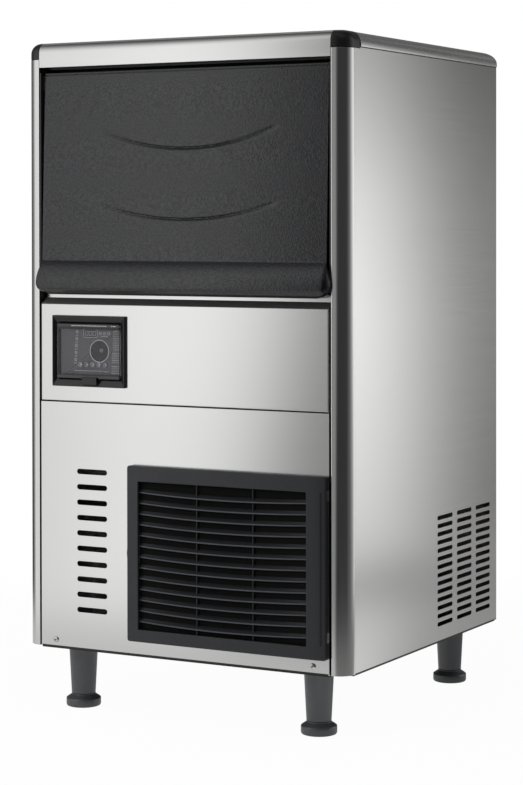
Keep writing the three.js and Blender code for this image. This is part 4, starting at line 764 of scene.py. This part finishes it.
def folded_sheet(section, stations, opening, edge):
    """A thin sheet along the width, from (front, back) point pairs up its section, with one oblong hole."""
    shell = Shell()
    rows, columns = len(section), len(stations)
    for x in stations:
        for front, back in section:
            off = max(0.0, edge - (stations[-1] - abs(x)))
            round_back = edge - math.sqrt(max(0.0, edge**2 - off**2))
            shell.points.append((x, front[0] + round_back, front[1]))
            shell.points.append((x, back[0], back[1]))

    def solid(i, j):
        """Whether the sheet has a patch between two stations and two rows."""
        if not (0 <= i < columns - 1 and 0 <= j < rows - 1):
            return False
        x = (stations[i] + stations[i + 1]) / 2
        z = (section[j][0][1] + section[j + 1][0][1]) / 2
        (left, right), (bottom, top) = opening
        return not (left < x < right and bottom < z < top)

    def corner(i, j, back):
        """A point's number by its station, its row and its side of the sheet."""
        return 2 * (i * rows + j) + back

    for i in range(columns - 1):
        for j in range(rows - 1):
            if not solid(i, j):
                continue
            around = [(i, j), (i + 1, j), (i + 1, j + 1), (i, j + 1)]
            shell.faces.append(tuple(corner(*c, 0) for c in around))
            shell.faces.append(tuple(corner(*c, 1) for c in reversed(around)))
            beside = [(i, j - 1), (i + 1, j), (i, j + 1), (i - 1, j)]
            for k, neighbour in enumerate(beside):
                if not solid(*neighbour):
                    a, b = around[k], around[(k + 1) % 4]
                    shell.faces.append((corner(*a, 0), corner(*a, 1), corner(*b, 1), corner(*b, 0)))
    return shell


def fascia_sheets():
    """The control fascia in three sheets: the flat face with the window's hole, the sloping fold and the flange."""
    low, high = local_box("control_fascia")
    bezel = local_box("control_bezel")
    foot, fold = FOLD
    hole = ((bezel[0].x + 6, bezel[1].x - 6), (bezel[0].z + 6, bezel[1].z - 6))
    flat = [(1.1, low.z + 0.5), (0.45, low.z + 0.7), (0.12, low.z + 1.1), (0, low.z + 1.7), (0, low.z + 2.9)]
    flat += [(0, hole[1][0]), (0, hole[1][1]), (0, foot - 1.2), (0, foot)]
    face = [((y, z), (SHEET, z)) for y, z in flat]
    slope = [(0, foot), (0.2, foot + 0.35), (0.6, foot + 0.7), (2.0, foot + 1.65), (6.0, foot + 4.3)]
    slope += [(10.4, foot + 7.2), (11.7, fold - 0.15), (FLANGE_DEPTH, fold)]
    bend = [((y, z), (max(y + 0.8, SHEET), z - 1.0)) for y, z in slope]
    upright = [(FLANGE_DEPTH, z) for z in (fold, fold + 1.2, high.z - 1.2, high.z - 0.3)]
    flange = [((y, z), (FLANGE_DEPTH + SHEET, z)) for y, z in [*upright, (FLANGE_DEPTH + 0.3, high.z)]]
    ends = [high.x - inwards for inwards in (0, 0.15, 0.5, 1.0, 1.5, 2.7)]
    stations = [*(-x for x in ends), *hole[0], *reversed(ends)]
    return [folded_sheet(section, stations, hole, SHEET) for section in (face, bend, flange)]


class ICEMAKER_OT_panels(bpy.types.Operator):
    """Build the fascia and the strips of painted shade, and finish the sheet panels, the base pan and the door frame"""

    bl_idname = "icemaker.panels"
    bl_label = "Panels"

    def execute(self, context):
        face, bend, flange = fascia_sheets()
        make_piece("fascia_skin", face, "cabinet", "steel", "steel", ["control_fascia"])
        make_piece("fascia_bend", bend, "cabinet", "steel", "shaded_bent_steel")
        make_piece("fascia_flange", flange, "cabinet", "steel", "steel")
        dress_nodes("steel", "left_side_panel", "right_side_panel", "top_panel", "lower_front_panel")
        dress_nodes("galvanised", "back_panel")
        dress_nodes("black_metal", "base_pan")
        dress_nodes("black_plastic", "door_surround")
        self.shade_strips()
        return {"FINISHED"}

    def shade_strips(self):
        """Strips of painted shade at the foot of the front and the side panels, and a line of painted shade under the
        trims.
        """
        low, high = local_box("lower_front_panel")
        shell = Shell().block((low.x + 1, high.x - 1), (-0.2, 0.4), (0, 1.7))
        for side, name in SIDES:
            low, high = local_box(f"{name}_side_panel")
            across = sorted((side * 224.6, side * 225.2))
            shell.block(across, (low.y + 1, high.y - 1), (0, 1.1))
            shell.block(across, (36, high.y - 2), (731.5, 733))
        make_piece("panel_shade_strips", shell, "cabinet", "steel", "black_metal")


class ICEMAKER_OT_screws(bpy.types.Operator):
    """Build the two domed cross-head screws at the foot of the front"""

    bl_idname = "icemaker.screws"
    bl_label = "Front screws"

    def execute(self, context):
        shank, slot_half, slot_width = 1.9, 1.7, 0.42
        for _, side in SIDES:
            name = f"{side}_front_screw"
            low, high = local_box(name)
            x, z = (low.x + high.x) / 2, (low.z + high.z) / 2
            radius = (high.x - low.x) / 2
            profile = [(shank, high.y), (shank, -0.3), (radius, -0.3), (radius, -0.9), (radius * 0.93, -1.4)]
            profile += [(radius * 0.75, -1.9), (radius * 0.5, -2.2), (radius * 0.2, low.y)]
            head = Shell().loft(facing_rings(profile, (x, z), 36))
            make_piece(f"{name}_skin", head, "cabinet", "screw_steel", "screw_steel", [name])
            # Painted shade: black blocks stand for the shaded cross slots in the head.
            cross = Shell()
            for wide, tall in ((slot_half, slot_width), (slot_width, slot_half)):
                cross.block((x - wide, x + wide), (low.y, -1.2), (z - tall, z + tall))
            make_piece(f"{name}_recess_shade", cross, "cabinet", "black_metal", "black_metal")
        return {"FINISHED"}


# Grille

GRILLE_EDGES = (-71.0, 200.2)
GRILLE_MOUTH = (-55.4, 175.1)
GRILLE_TURN = 12.0  # width over which the hinged edge turns back
LOUVRES = 13
LOUVRE_FOOT = 43.2
LOUVRE_PITCH = 13.09
LOUVRE_ENDS = (GRILLE_EDGES[0] + 5, 182.0)
LOUVRE_BACK = -1.6
RIBS = (25.7, 102.7)


def grille_front(x):
    """Depth of the grille's front, which turns back at its hinged edge."""
    middle, half = sum(GRILLE_EDGES) / 2, (GRILLE_EDGES[1] - GRILLE_EDGES[0]) / 2
    past = max(0.0, x - (GRILLE_EDGES[1] - GRILLE_TURN))
    return -8.2 + 0.3 * ((x - middle) / half) ** 2 + 1.7 * (past / GRILLE_TURN) ** 1.5


def grille_frame(low, high):
    """The grille's rim, from its back edge round the front into the hollow."""
    whole = (GRILLE_EDGES, (low.z - 2.2, high.z - 1.2))
    opening = (GRILLE_MOUTH, (low.z + 12.8, high.z - 20.0))

    def outline(share, inset, radius):
        """A rounded outline part of the way from the rim's edge to the opening."""
        return rounded_rectangle(*drawn_in(whole, opening, share, inset), radius, 4)

    base = outline(0, 0, 3.0)
    steps = [max(1, math.ceil(math.dist(a, b) / 8.0)) for a, b in zip(base, base[1:] + base[:1])]

    def dense(line):
        """An outline with points added along its long sides."""
        points = []
        for (a, b), count in zip(zip(line, line[1:] + line[:1]), steps):
            points.extend((a[0] + (b[0] - a[0]) * i / count, a[1] + (b[1] - a[1]) * i / count) for i in range(count))
        return points

    back = -0.3
    # Share of the way in, inset, corner radius, and the distance behind the front or None for the back edge
    rows = [(0, 0, 3.0, None), (0, 0, 3.0, 1.0), (0, 0.2, 2.9, 0.45), (0, 0.55, 2.6, 0.12), (0, 1.1, 2.2, 0.0),
            (0, 2.4, 1.8, 0.0), (0.35, 0, 1.6, 0.0), (0.7, 0, 1.4, 0.0), (1, -0.6, 1.6, 0.0), (1, -0.1, 1.3, 0.25),
            (1, 0, 1.2, 0.8), (1, 0, 1.2, 3.6), (0, 2.6, 1.0, 3.6), (0, 2.6, 1.0, None)]
    rings = []
    for *shape, behind in rows:
        ring = []
        for x, z in dense(outline(*shape)):
            ring.append((x, back if behind is None else min(grille_front(x) + behind, -0.4), z))
        rings.append(ring)
    return Shell().looped(rings)


def add_louvre(blades, nose_highlights, z):
    """One blade that slopes down to a rounded nose and hangs lower in the middle, with a painted highlight strip along
    the nose.
    """
    blade, edge = [], []
    count = 28
    for i in range(count + 1):
        x = LOUVRE_ENDS[0] + (LOUVRE_ENDS[1] - LOUVRE_ENDS[0]) * i / count
        share = (2 * i / count - 1) ** 2
        front = -7.4 + 4.0 * share
        drop = z - 3.6 * (1 - share)
        nose = [(1.4, -1.3), (0.4, -1.0), (0, -0.3), (0.1, 0.7), (0.8, 1.2)]
        section = [(front + y, drop + up) for y, up in nose]
        blade.append([(x, *point) for point in [(LOUVRE_BACK, drop + 2.6), *section, (LOUVRE_BACK, drop + 4.6)]])
        # Painted highlight: a thin pale strip just proud of the nose.
        lit = [(1.2, -1.1), (0.35, -1.05), (-0.05, -0.3), (0.05, 0.5), (1.2, 0.4)]
        edge.append([(x, front + y, drop + up) for y, up in lit])
    blades.loft(blade)
    nose_highlights.loft(edge)


class ICEMAKER_OT_grille(bpy.types.Operator):
    """Build the louvred grille cover, and finish its filter and the duct behind it"""

    bl_idname = "icemaker.grille"
    bl_label = "Grille"

    def execute(self, context):
        low, high = local_box("grille_cover")
        rim = grille_frame(low, high)
        make_piece("grille_skin", rim, "grille", "grille_plastic", "grille_plastic", ["grille_cover"], sharp_angle=22)
        blades, nose_highlights = Shell(), Shell()
        for row in range(LOUVRES):
            add_louvre(blades, nose_highlights, LOUVRE_FOOT + LOUVRE_PITCH * row)
        for x in RIBS:
            blades.block((x - 0.7, x + 0.7), (-4.8, LOUVRE_BACK), (low.z + 3, high.z - 5))
        make_piece("grille_louvres", blades, "grille", "grille_plastic", "louvre_shaded_plastic", sharp_angle=38)
        make_piece("grille_blade_highlights", nose_highlights, "grille", "grille_plastic", "nose_highlight_plastic", sharp_angle=38)
        self.side_slot(low, high)
        dress_nodes("filter_mesh", "air_filter")
        dress_nodes("black_plastic", "air_duct")
        return {"FINISHED"}

    def side_slot(self, low, high):
        """The long slot in the grille's hinged edge, drawn as a black strip of painted shade, with a rib standing in
        it.
        """
        # The slot is painted shade: a black strip just proud of the surface.
        for name, (far, near), proud, finish in (
            ("grille_edge_slot_shade", (8.3, 5.2), 0.08, "black_metal"),
            ("grille_edge_rib", (6.6, 5.5), 0.4, "louvre_shaded_plastic"),
        ):
            places = [GRILLE_EDGES[1] - far + (far - near) * i / 5 for i in range(6)]
            front = [(x, grille_front(x) - proud) for x in places]
            back = [(x, y + proud + 0.5) for x, y in reversed(front)]
            shell = Shell().upright(front + back, (low.z + 15, high.z - 20))
            make_piece(name, shell, "grille", "grille_plastic", finish)


# Control unit

WINDOW = ((-176.4, -84.9), (335.0, 402.6))
DIAL = (-118.2, 369.1)
DIAL_RADIUS = 13.1
DISPLAY = ((-141.6, -121.0), (385.4, 396.0))
PRINT = 0.05  # depth that printed marks reach into the film
BUTTONS = 5


def bezel_rings(low, high):
    """The bezel's mitred frame, from its back edge over the rim and down its slope into the window."""
    box = ((low.x + 0.7, high.x - 1.4), (low.z - 1.5, high.z + 1.2))
    rings = []
    # Share of the way in, inset, depth and corner radius
    for share, inset, y, radius in (
        (0, 0, -0.3, 0.8), (0, 0, -3.2, 0.8), (0, 0.3, -3.75, 0.8), (0, 0.8, -4.0, 0.8), (0, 1.5, -3.9, 0.8),
        (0.35, 0.6, -2.5, 0.8), (0.7, 0.2, -0.9, 0.8), (0.96, 0, 0.5, 0.5), (1, 0, 0.9, 0.4), (1, 0, 11.0, 0.4),
    ):
        line = rounded_rectangle(*drawn_in(box, WINDOW, share, inset), radius, 2)
        rings.append([(x, y, z) for x, z in line])
    return rings


def outline_frame(shell, x, z, depth, width, radius):
    """A thin printed frame with round corners, between two depths."""
    front, back = depth
    outer = rounded_rectangle(x, z, radius, 4)
    inner = rounded_rectangle((x[0] + width, x[1] - width), (z[0] + width, z[1] - width), radius - width / 2, 4)
    lines = ((outer, back), (outer, front), (inner, front), (inner, back))
    shell.looped([[(a, y, b) for a, b in line] for line, y in lines])


def dashes(shell, x, z, depth, count, height=0.8):
    """A row of small printed dashes of slightly different lengths."""
    pitch = (x[1] - x[0]) / count
    for i in range(count):
        long = pitch * (0.62 + 0.12 * math.sin(i * 2.4))
        start = x[0] + i * pitch
        shell.block((start, start + long), depth, (z - height / 2, z + height / 2))


def print_marks(shell, front):
    """Generic dashes and rings in place of words on the membrane."""
    depth = (front, front + PRINT)
    shell.disc(DIAL, depth, DIAL_RADIUS + 0.9, DIAL_RADIUS, 56)
    shell.disc((-115.4, 369.8), (front - 0.04, front + PRINT), 2.1, 1.6)
    outline_frame(shell, *DISPLAY, depth, 0.55, 1.4)
    for i in range(3):
        outline_frame(shell, (-139.0 + 5.6 * i, -134.6 + 5.6 * i), (388.0, 393.4), depth, 0.45, 0.6)
        shell.disc((-116.8 + 6.05 * i, 391.1), depth, 1.9, 1.3)
    dashes(shell, (-116.2, -105.6), 387.3, depth, 4)
    for i in range(5):
        x, z = -150.8 - 0.6 * i, 392.3 - 8.6 * i
        shell.disc((x, z), depth, 1.8, 1.2)
        dashes(shell, (x - 2.0, x + 2.2), z - 4.3, depth, 2)
    dashes(shell, (-154.8, -114.5), 344.4, depth, 17)
    dashes(shell, (-112.5, -103.8), 343.9, depth, 4)
    for rows, top, left in ((9, 393.4, -97.6), (5, 366.6, -99.2), (4, 350.6, -100.2)):
        for row in range(rows):
            ends = (left - 0.08 * row, -88.2 - 0.1 * row)
            dashes(shell, ends, top - 2.75 * row, depth, 4, height=0.7 if row % 3 else 0.95)


class ICEMAKER_OT_controls(bpy.types.Operator):
    """Build the bezel, the printed membrane, the buttons and the smoked flap"""

    bl_idname = "icemaker.controls"
    bl_label = "Control unit"

    def execute(self, context):
        low, high = local_box("control_bezel")
        shell = Shell().loft(bezel_rings(low, high), capped=False)
        floor = rounded_rectangle(*WINDOW, 0.4, 2)
        shell.loft([[(x, y, z) for x, z in floor] for y in (11.0, 11.9)])
        make_piece("bezel_skin", shell, "cabinet", "black_plastic", "bezel_plastic", ["control_bezel"], sharp_angle=16)
        self.membrane()
        self.flap()
        for number in range(1, BUTTONS + 1):
            self.button(f"button_{number}")
        return {"FINISHED"}

    def membrane(self):
        """The printed film with its marks, its dial and its small display."""
        dress_nodes("membrane", "control_membrane")
        front = local_box("control_membrane")[0].y
        rise = bpy.context.scene.ice_maker_sizes.print_height * 1000
        marks = Shell()
        print_marks(marks, front - rise)
        make_piece("control_marks", marks, "cabinet", "membrane", "control_print")
        dial = Shell().disc(DIAL, (front - 0.03, front + 0.2), DIAL_RADIUS, steps=56)
        make_piece("control_dial", dial, "cabinet", "membrane", "dial_print")
        x, z = drawn_in(DISPLAY, DISPLAY, 0, 0.4)
        glass = Shell().block(x, (front - 0.03, front + 0.5), z)
        make_piece("display_glass", glass, "cabinet", "membrane", "display_glass")

    def button(self, node):
        """A domed cap on its shoulder, with a ring and a bar printed on it."""
        low, high = local_box(node)
        x, z = (low.x + high.x) / 2, (low.z + high.z) / 2
        profile = [(3.9, high.y), (3.9, high.y - 1.2), (3.0, high.y - 1.2), (3.0, low.y + 0.5)]
        profile += [(2.8, low.y + 0.15), (2.3, low.y), (1.2, low.y + 0.08), (0.2, low.y + 0.12)]
        cap = Shell().loft(facing_rings(profile, (x, z), 32))
        make_piece(f"{node}_cap", cap, node, "button_plastic", "membrane", [node])
        marks = Shell().disc((x, z), (low.y - 0.04, low.y + 0.3), 2.75, 2.3, 32)
        marks.block((x - 0.1, x + 1.5), (low.y + 0.02, low.y + 0.3), (z - 0.9, z + 1.1))
        make_piece(f"{node}_mark", marks, node, "button_plastic", "control_print")

    def flap(self):
        """The clear pane between its two thick edge bands, with lines of painted shade along them, the tab and the
        printed dashes.
        """
        low, high = local_box("control_flap")
        left, right = (WINDOW[0][0] + 0.3, WINDOW[0][1] - 0.3)
        foot, top = (WINDOW[1][0] + 0.3, WINDOW[1][1] - 0.3)
        front, back = -2.6, -0.8
        pane_foot, pane_top = foot + 4.0, top - 4.2
        x, depth = (left, right), (front, back)

        def add(name, shell, finish, **options):
            """A piece of the flap."""
            make_piece(name, shell, "control_flap", "smoked_plastic", finish, **options)

        pane = Shell().block(x, depth, (pane_foot, pane_top))
        add("flap_pane", pane, "smoked_plastic", stands_for=["control_flap"], bevel=0.25)
        # Painted shade: black lines along the inner edges of the bands.
        lines = Shell()
        for ends in ((foot + 3.8, foot + 5.2), (top - 6.4, top - 4.0)):
            lines.block((left + 0.3, right - 0.3), (front - 0.02, back), ends)
        add("flap_shade_lines", lines, "black_metal")
        bands = Shell().block(x, depth, (foot, pane_foot)).block(x, depth, (pane_top, top))
        bands.across(circle((-1.7, 400.0), 0.8, 24), (low.x, high.x))
        add("flap_bands", bands, "flap_edge_plastic", bevel=0.35)
        tip = foot - 7.7
        section = [(-1.7, foot + 0.1), (-4.4, foot + 0.1), (-4.4, tip), (-4.9, tip)]
        section += [(-6.1, foot + 1.4), (-1.7, foot + 1.8)]
        add("flap_tab", Shell().across(section, (-137.8, -116.4)), "bezel_plastic", bevel=0.3)
        marks = Shell()
        for start, end, count in ((21.5, 73.5, 18), (79.5, 87.0, 3)):
            dashes(marks, (left + start, left + end), top - 2.1, (front - 0.05, front + 0.1), count)
        add("flap_marks", marks, "control_print")


# Legs

LEG_PLACES = {
    "front_left": (-166.6, 41.4),
    "front_right": (166.6, 41.4),
    "rear_left": (-176.2, 398.0),
    "rear_right": (176.2, 398.0),
}


class ICEMAKER_OT_legs(bpy.types.Operator):
    """Build the tapered legs and their adjustable feet"""

    bl_idname = "icemaker.legs"
    bl_label = "Legs and feet"

    def execute(self, context):
        for name, centre in LEG_PLACES.items():
            low, high = local_box(f"{name}_leg")
            leg = [(7.3, high.z - 26.4), (7.3, low.z), (14.4, low.z), (15.0, low.z + 0.5)]
            leg += [(18.0, high.z - 0.8), (18.2, high.z - 0.3), (17.8, high.z), (0.2, high.z)]
            shell = Shell().turned(leg, centre)
            make_piece(f"{name}_leg_skin", shell, "cabinet", "leg_plastic", "leg_plastic", [f"{name}_leg"])
            low, high = local_box(f"{name}_foot")
            disc = [(0.2, 0), (19.2, 0), (20.6, 0.5), (21.4, 1.5), (21.7, 2.9), (21.7, 9.4), (21.4, 10.3), (20.7, 10.9)]
            collar = [(15.6, 14.3), (15.0, 14.9), (15.0, 15.8), (7.0, 15.8)]
            foot = [(radius, low.z + up) for radius, up in disc + collar]
            foot += [(7.0, high.z - 0.6), (6.4, high.z), (0.2, high.z)]
            shell = Shell().turned(foot, centre)
            make_piece(f"{name}_foot_skin", shell, f"{name}_foot", "leg_plastic", "leg_plastic", [f"{name}_foot"])
        return {"FINISHED"}


# Inside and back

INNER_FINISHES = {
    "white_plastic": ["bin_liner", "water_curtain", "water_distributor", "water_sump", "pump_impeller",
                      "float_valve", "float_arm", "drain_fitting"],
    "foam": ["bin_insulation"],
    "copper": ["evaporator", "discharge_pipe", "suction_pipe", "filter_drier"],
    "galvanised": ["condenser", "fan_shroud", "electrical_box"],
    "black_metal": ["fan_motor", "compressor"],
    "black_plastic": ["condenser_fan", "pump_motor", "power_inlet"],
    "brass": ["water_inlet_fitting"],
}


class ICEMAKER_OT_inner_parts(bpy.types.Operator):
    """Finish the bin, the freezing and cooling parts and the rear fittings"""

    bl_idname = "icemaker.inner_parts"
    bl_label = "Inner parts and rear fittings"

    def execute(self, context):
        for finish, nodes in INNER_FINISHES.items():
            dress_nodes(finish, *nodes)
        return {"FINISHED"}


# Studio

# Brightness that metal mirrors round the room: (degrees from the front towards the right, level)
ROOM_LEVELS = [
    (-180, 0.1), (-145, 0.11), (-118, 0.1), (-97, 0.14), (-85, 0.22), (-76, 0.45), (-67, 0.9), (-34, 0.95), (-26, 0.4),
    (0, 0.32), (10, 0.12), (20, 0.03), (80, 0.035), (96, 0.14), (105, 0.26), (113, 0.45), (123, 0.8),
    (134, 1.05), (155, 0.7), (168, 0.3), (180, 0.12),
]
# Levels across and up the two cards, by place in metres
FRONT_LEVELS = [(-1.2, 0.82), (-0.62, 0.86), (-0.43, 1.07), (-0.33, 1.09), (-0.24, 0.9), (-0.17, 0.5), (-0.12, 0.25),
                (-0.05, 0.24), (0.08, 0.3), (0.2, 0.26), (0.26, 0.1), (0.33, 0.03), (0.5, 0.025)]
FRONT_HEIGHTS = [(0.0, 0.92), (0.27, 0.945), (0.4, 1.0), (0.8, 1.02), (1.0, 1.0), (1.12, 0.93), (1.24, 0.84),
                 (1.38, 0.74), (1.55, 0.64), (1.75, 0.54), (1.9, 0.48)]
SIDE_LEVELS = [(0.45, 1.3), (1.0, 1.35), (1.09, 1.22), (1.19, 0.88), (1.28, 0.52), (1.36, 0.28), (1.45, 0.14),
               (1.56, 0.12), (1.66, 0.17), (1.8, 0.22), (2.4, 0.2)]
SIDE_HEIGHTS = [(0.0, 0.66), (0.2, 0.84), (0.445, 1.0), (0.65, 0.9), (0.8, 0.66), (0.9, 0.5), (1.05, 0.3), (1.25, 0.17),
                (1.6, 0.1), (2.3, 0.07)]
# Levels of the painted shadow that shiny faces see on the floor, by its slanting distance from the right-hand column
FLOOR_LEVELS = [(-1.1, 0.2), (-0.95, 0.4), (-0.86, 0.85), (-0.76, 0.9), (-0.64, 0.58), (-0.52, 0.36), (-0.24, 0.3),
                (0.1, 0.25)]
FLOOR_RADIUS = 1.2
CAMERA_PLACE = (1.3951, -2.5459, 0.6064)
CAMERA_TURN = (89.305, 0.069, 28.878)
CAMERA_LENS = 103.33
CAMERA_SHIFT = -0.18197


def world_nodes(ambient):
    """A pale room: white to the camera, even to matt faces, and graded to shiny ones under a dark ceiling."""
    world = bpy.data.worlds.new("pale_room")
    bpy.context.scene.world = world
    world.use_nodes = True
    world.node_tree.nodes.clear()
    nodes = Nodes(world.node_tree)
    x, y, z = nodes.position()
    azimuth = nodes.math("MULTIPLY", nodes.math("ARCTAN2", x, nodes.math("MULTIPLY", y, -1)), 180 / math.pi)
    below = nodes.math("MULTIPLY", nodes.eased(z, -0.12, 0.0, 0.6, 0.0), nodes.eased(y, 0.0, 0.2, 0.0, 1.0))
    walls = nodes.math("MULTIPLY", nodes.stops(azimuth, ROOM_LEVELS), nodes.math("SUBTRACT", 1.0, below))
    behind_left = nodes.math("MULTIPLY", nodes.eased(y, 0.1, 0.6, 0.0, 0.3), nodes.eased(x, -0.15, 0.1, 1.0, 0.0))
    ceiling = nodes.math("ADD", behind_left, nodes.eased(y, -0.5, 0.2, 0.36, 0.03))
    room = nodes.glow("Background", 1, nodes.blended(nodes.eased(z, 0.3, 0.75, 0, 1), walls, ceiling))
    path = nodes.add("LightPath").outputs
    shiny = nodes.mixed(path["Is Glossy Ray"], nodes.glow("Background", ambient), room)
    seen = nodes.math("MAXIMUM", path["Is Camera Ray"], path["Is Transmission Ray"])
    nodes.add("OutputWorld", {"Surface": nodes.mixed(seen, shiny, nodes.glow("Background", 1))})


def reflector(name, axis, at, across, up, levels, heights, lean, lean_top):
    """A card that only shiny faces see, graded along its width and its height; the first grade leans up to a height."""
    corners = [(across[0], up[0]), (across[1], up[0]), (across[1], up[1]), (across[0], up[1])]
    points = [(at, a, z) if axis == "x" else (a, at, z) for a, z in corners]
    mesh = bpy.data.meshes.new(name)
    mesh.from_pydata(points, [], [(0, 1, 2, 3)])
    material = bpy.data.materials.new(name)
    material.use_nodes = True
    nodes = Nodes(material.node_tree)
    place_on = nodes.position()
    height = nodes.math("SUBTRACT", nodes.math("MINIMUM", place_on["Z"], lean_top), 0.3)
    along = nodes.math("SUBTRACT", place_on["Y" if axis == "x" else "X"], nodes.math("MULTIPLY", height, lean))
    shade = nodes.math("MULTIPLY", nodes.stops(along, levels), nodes.stops(place_on["Z"], heights))
    nodes.link(nodes.glow("Emission", 1, shade), nodes.tree.nodes["Material Output"].inputs["Surface"])
    mesh.materials.append(material)
    card = bpy.data.objects.new(name, mesh)
    for rays in ("camera", "diffuse", "transmission", "volume_scatter", "shadow"):
        setattr(card, f"visible_{rays}", False)
    bpy.context.scene.collection.objects.link(card)


def floor_material():
    """A pale floor that fades into the white room and, to shiny faces, shows a painted shadow, darkest of all beside
    the columns.
    """
    material = bpy.data.materials.new("pale_floor")
    material.use_nodes = True
    nodes = Nodes(material.node_tree)
    shader = nodes.tree.nodes["Principled BSDF"]
    shader.inputs["Base Color"].default_value = (0.82, 0.82, 0.82, 1)
    shader.inputs["Roughness"].default_value = 0.7
    path = nodes.add("LightPath").outputs
    lifted = nodes.math("MULTIPLY", path["Is Camera Ray"], 0.97)
    lit = nodes.mixed(lifted, shader.outputs[0], nodes.glow("Emission", 1))
    x, y, _ = nodes.position()
    beside = nodes.stops(nodes.math("SUBTRACT", y, nodes.math("MULTIPLY", x, 2.18)), FLOOR_LEVELS)
    in_front = nodes.math("MULTIPLY", nodes.eased(x, 0.1, 0.26, 1, 0), 0.6)
    right = nodes.math("MULTIPLY", nodes.eased(x, 0.1, 0.26, 0, 1), beside)
    mirrored = nodes.mixed(path["Is Glossy Ray"], lit, nodes.glow("Emission", 1, nodes.math("ADD", in_front, right)))
    from_middle = nodes.add("VectorMath", {0: nodes.space}, operation="LENGTH").outputs["Value"]
    fade = nodes.eased(from_middle, 0.75, 1.15, 0, 1)
    final = nodes.mixed(fade, mirrored, nodes.add("BsdfTransparent").outputs[0])
    nodes.link(final, nodes.tree.nodes["Material Output"].inputs["Surface"])
    return material


def soft_light(name, location, target, size, power):
    """A square soft light that looks at a place and that shiny faces don't mirror."""
    data = bpy.data.lights.new(name, "AREA")
    data.shape = "SQUARE"
    data.size = size
    data.energy = power
    light = bpy.data.objects.new(name, data)
    light.location = location
    light.rotation_euler = (Vector(target) - Vector(location)).to_track_quat("-Z", "Y").to_euler()
    light.visible_glossy = False
    bpy.context.scene.collection.objects.link(light)


class ICEMAKER_OT_studio(bpy.types.Operator):
    """Set up the pale floor, the soft lights, the room and the camera"""

    bl_idname = "icemaker.studio"
    bl_label = "Studio"

    def execute(self, context):
        scene = context.scene
        studio = scene.ice_maker_studio
        scene.view_settings.view_transform = "Standard"
        world_nodes(studio.ambient)
        self.floor(scene)
        reflector("front_card", "y", -0.8, (-1.2, 0.5), (0, 1.9), FRONT_LEVELS, FRONT_HEIGHTS, 0.18, 0.48)
        reflector("side_card", "x", 0.825, (0.45, 2.4), (0, 2.3), SIDE_LEVELS, SIDE_HEIGHTS, -0.12, 0.8)
        soft_light("key_light", (-1.25, -1.5, 1.25), (0, 0, 0.45), 0.9, studio.key_power)
        soft_light("top_light", (0.2, -0.6, 2.9), (0, 0, 0.6), 1.8, studio.top_power)
        self.camera(scene)
        return {"FINISHED"}

    def floor(self, scene):
        """A round floor, a hair under the feet."""
        mesh = bpy.data.meshes.new("floor")
        edge = circle((0, 0), FLOOR_RADIUS, 64)
        mesh.from_pydata([(x, y, 0) for x, y in edge], [], [tuple(range(len(edge)))])
        mesh.materials.append(floor_material())
        floor = bpy.data.objects.new("floor", mesh)
        floor.location = (0, 0, -0.0002)
        scene.collection.objects.link(floor)

    def camera(self, scene):
        """The camera that was fitted to the reference picture."""
        data = bpy.data.cameras.new("camera")
        data.sensor_width = 36
        data.lens = CAMERA_LENS
        data.shift_y = CAMERA_SHIFT
        camera = bpy.data.objects.new("camera", data)
        camera.location = CAMERA_PLACE
        camera.rotation_euler = [math.radians(a) for a in CAMERA_TURN]
        scene.collection.objects.link(camera)
        scene.camera = camera


# The add-on

OPERATORS = [
    ICEMAKER_OT_studio,
    ICEMAKER_OT_panels,
    ICEMAKER_OT_corners,
    ICEMAKER_OT_trims,
    ICEMAKER_OT_lid,
    ICEMAKER_OT_controls,
    ICEMAKER_OT_grille,
    ICEMAKER_OT_screws,
    ICEMAKER_OT_legs,
    ICEMAKER_OT_inner_parts,
]
GROUPS = {
    "ice_maker_finishes": IceMakerFinishes,
    "ice_maker_sizes": IceMakerSizes,
    "ice_maker_studio": IceMakerStudio,
}


class ICEMAKER_PT_sidebar(bpy.types.Panel):
    """The ice maker's settings and its building steps"""

    bl_idname = "ICEMAKER_PT_sidebar"
    bl_label = "Ice maker"
    bl_space_type = "VIEW_3D"
    bl_region_type = "UI"
    bl_category = "Ice maker"

    def draw(self, context):
        for attribute, group in GROUPS.items():
            box = self.layout.box()
            for name in group.__annotations__:
                box.prop(getattr(context.scene, attribute), name)
        for operator in OPERATORS:
            self.layout.operator(operator.bl_idname)


CLASSES = (*GROUPS.values(), *OPERATORS, ICEMAKER_PT_sidebar)


def register():
    for cls in CLASSES:
        bpy.utils.register_class(cls)
    for attribute, group in GROUPS.items():
        setattr(bpy.types.Scene, attribute, bpy.props.PointerProperty(type=group))


def unregister():
    for attribute in GROUPS:
        delattr(bpy.types.Scene, attribute)
    for cls in reversed(CLASSES):
        bpy.utils.unregister_class(cls)


def main():
    """Registers the add-on and builds every piece in order."""
    register()
    for operator in OPERATORS:
        group, name = operator.bl_idname.split(".")
        getattr(getattr(bpy.ops, group), name)()


if __name__ == "__main__":
    main()
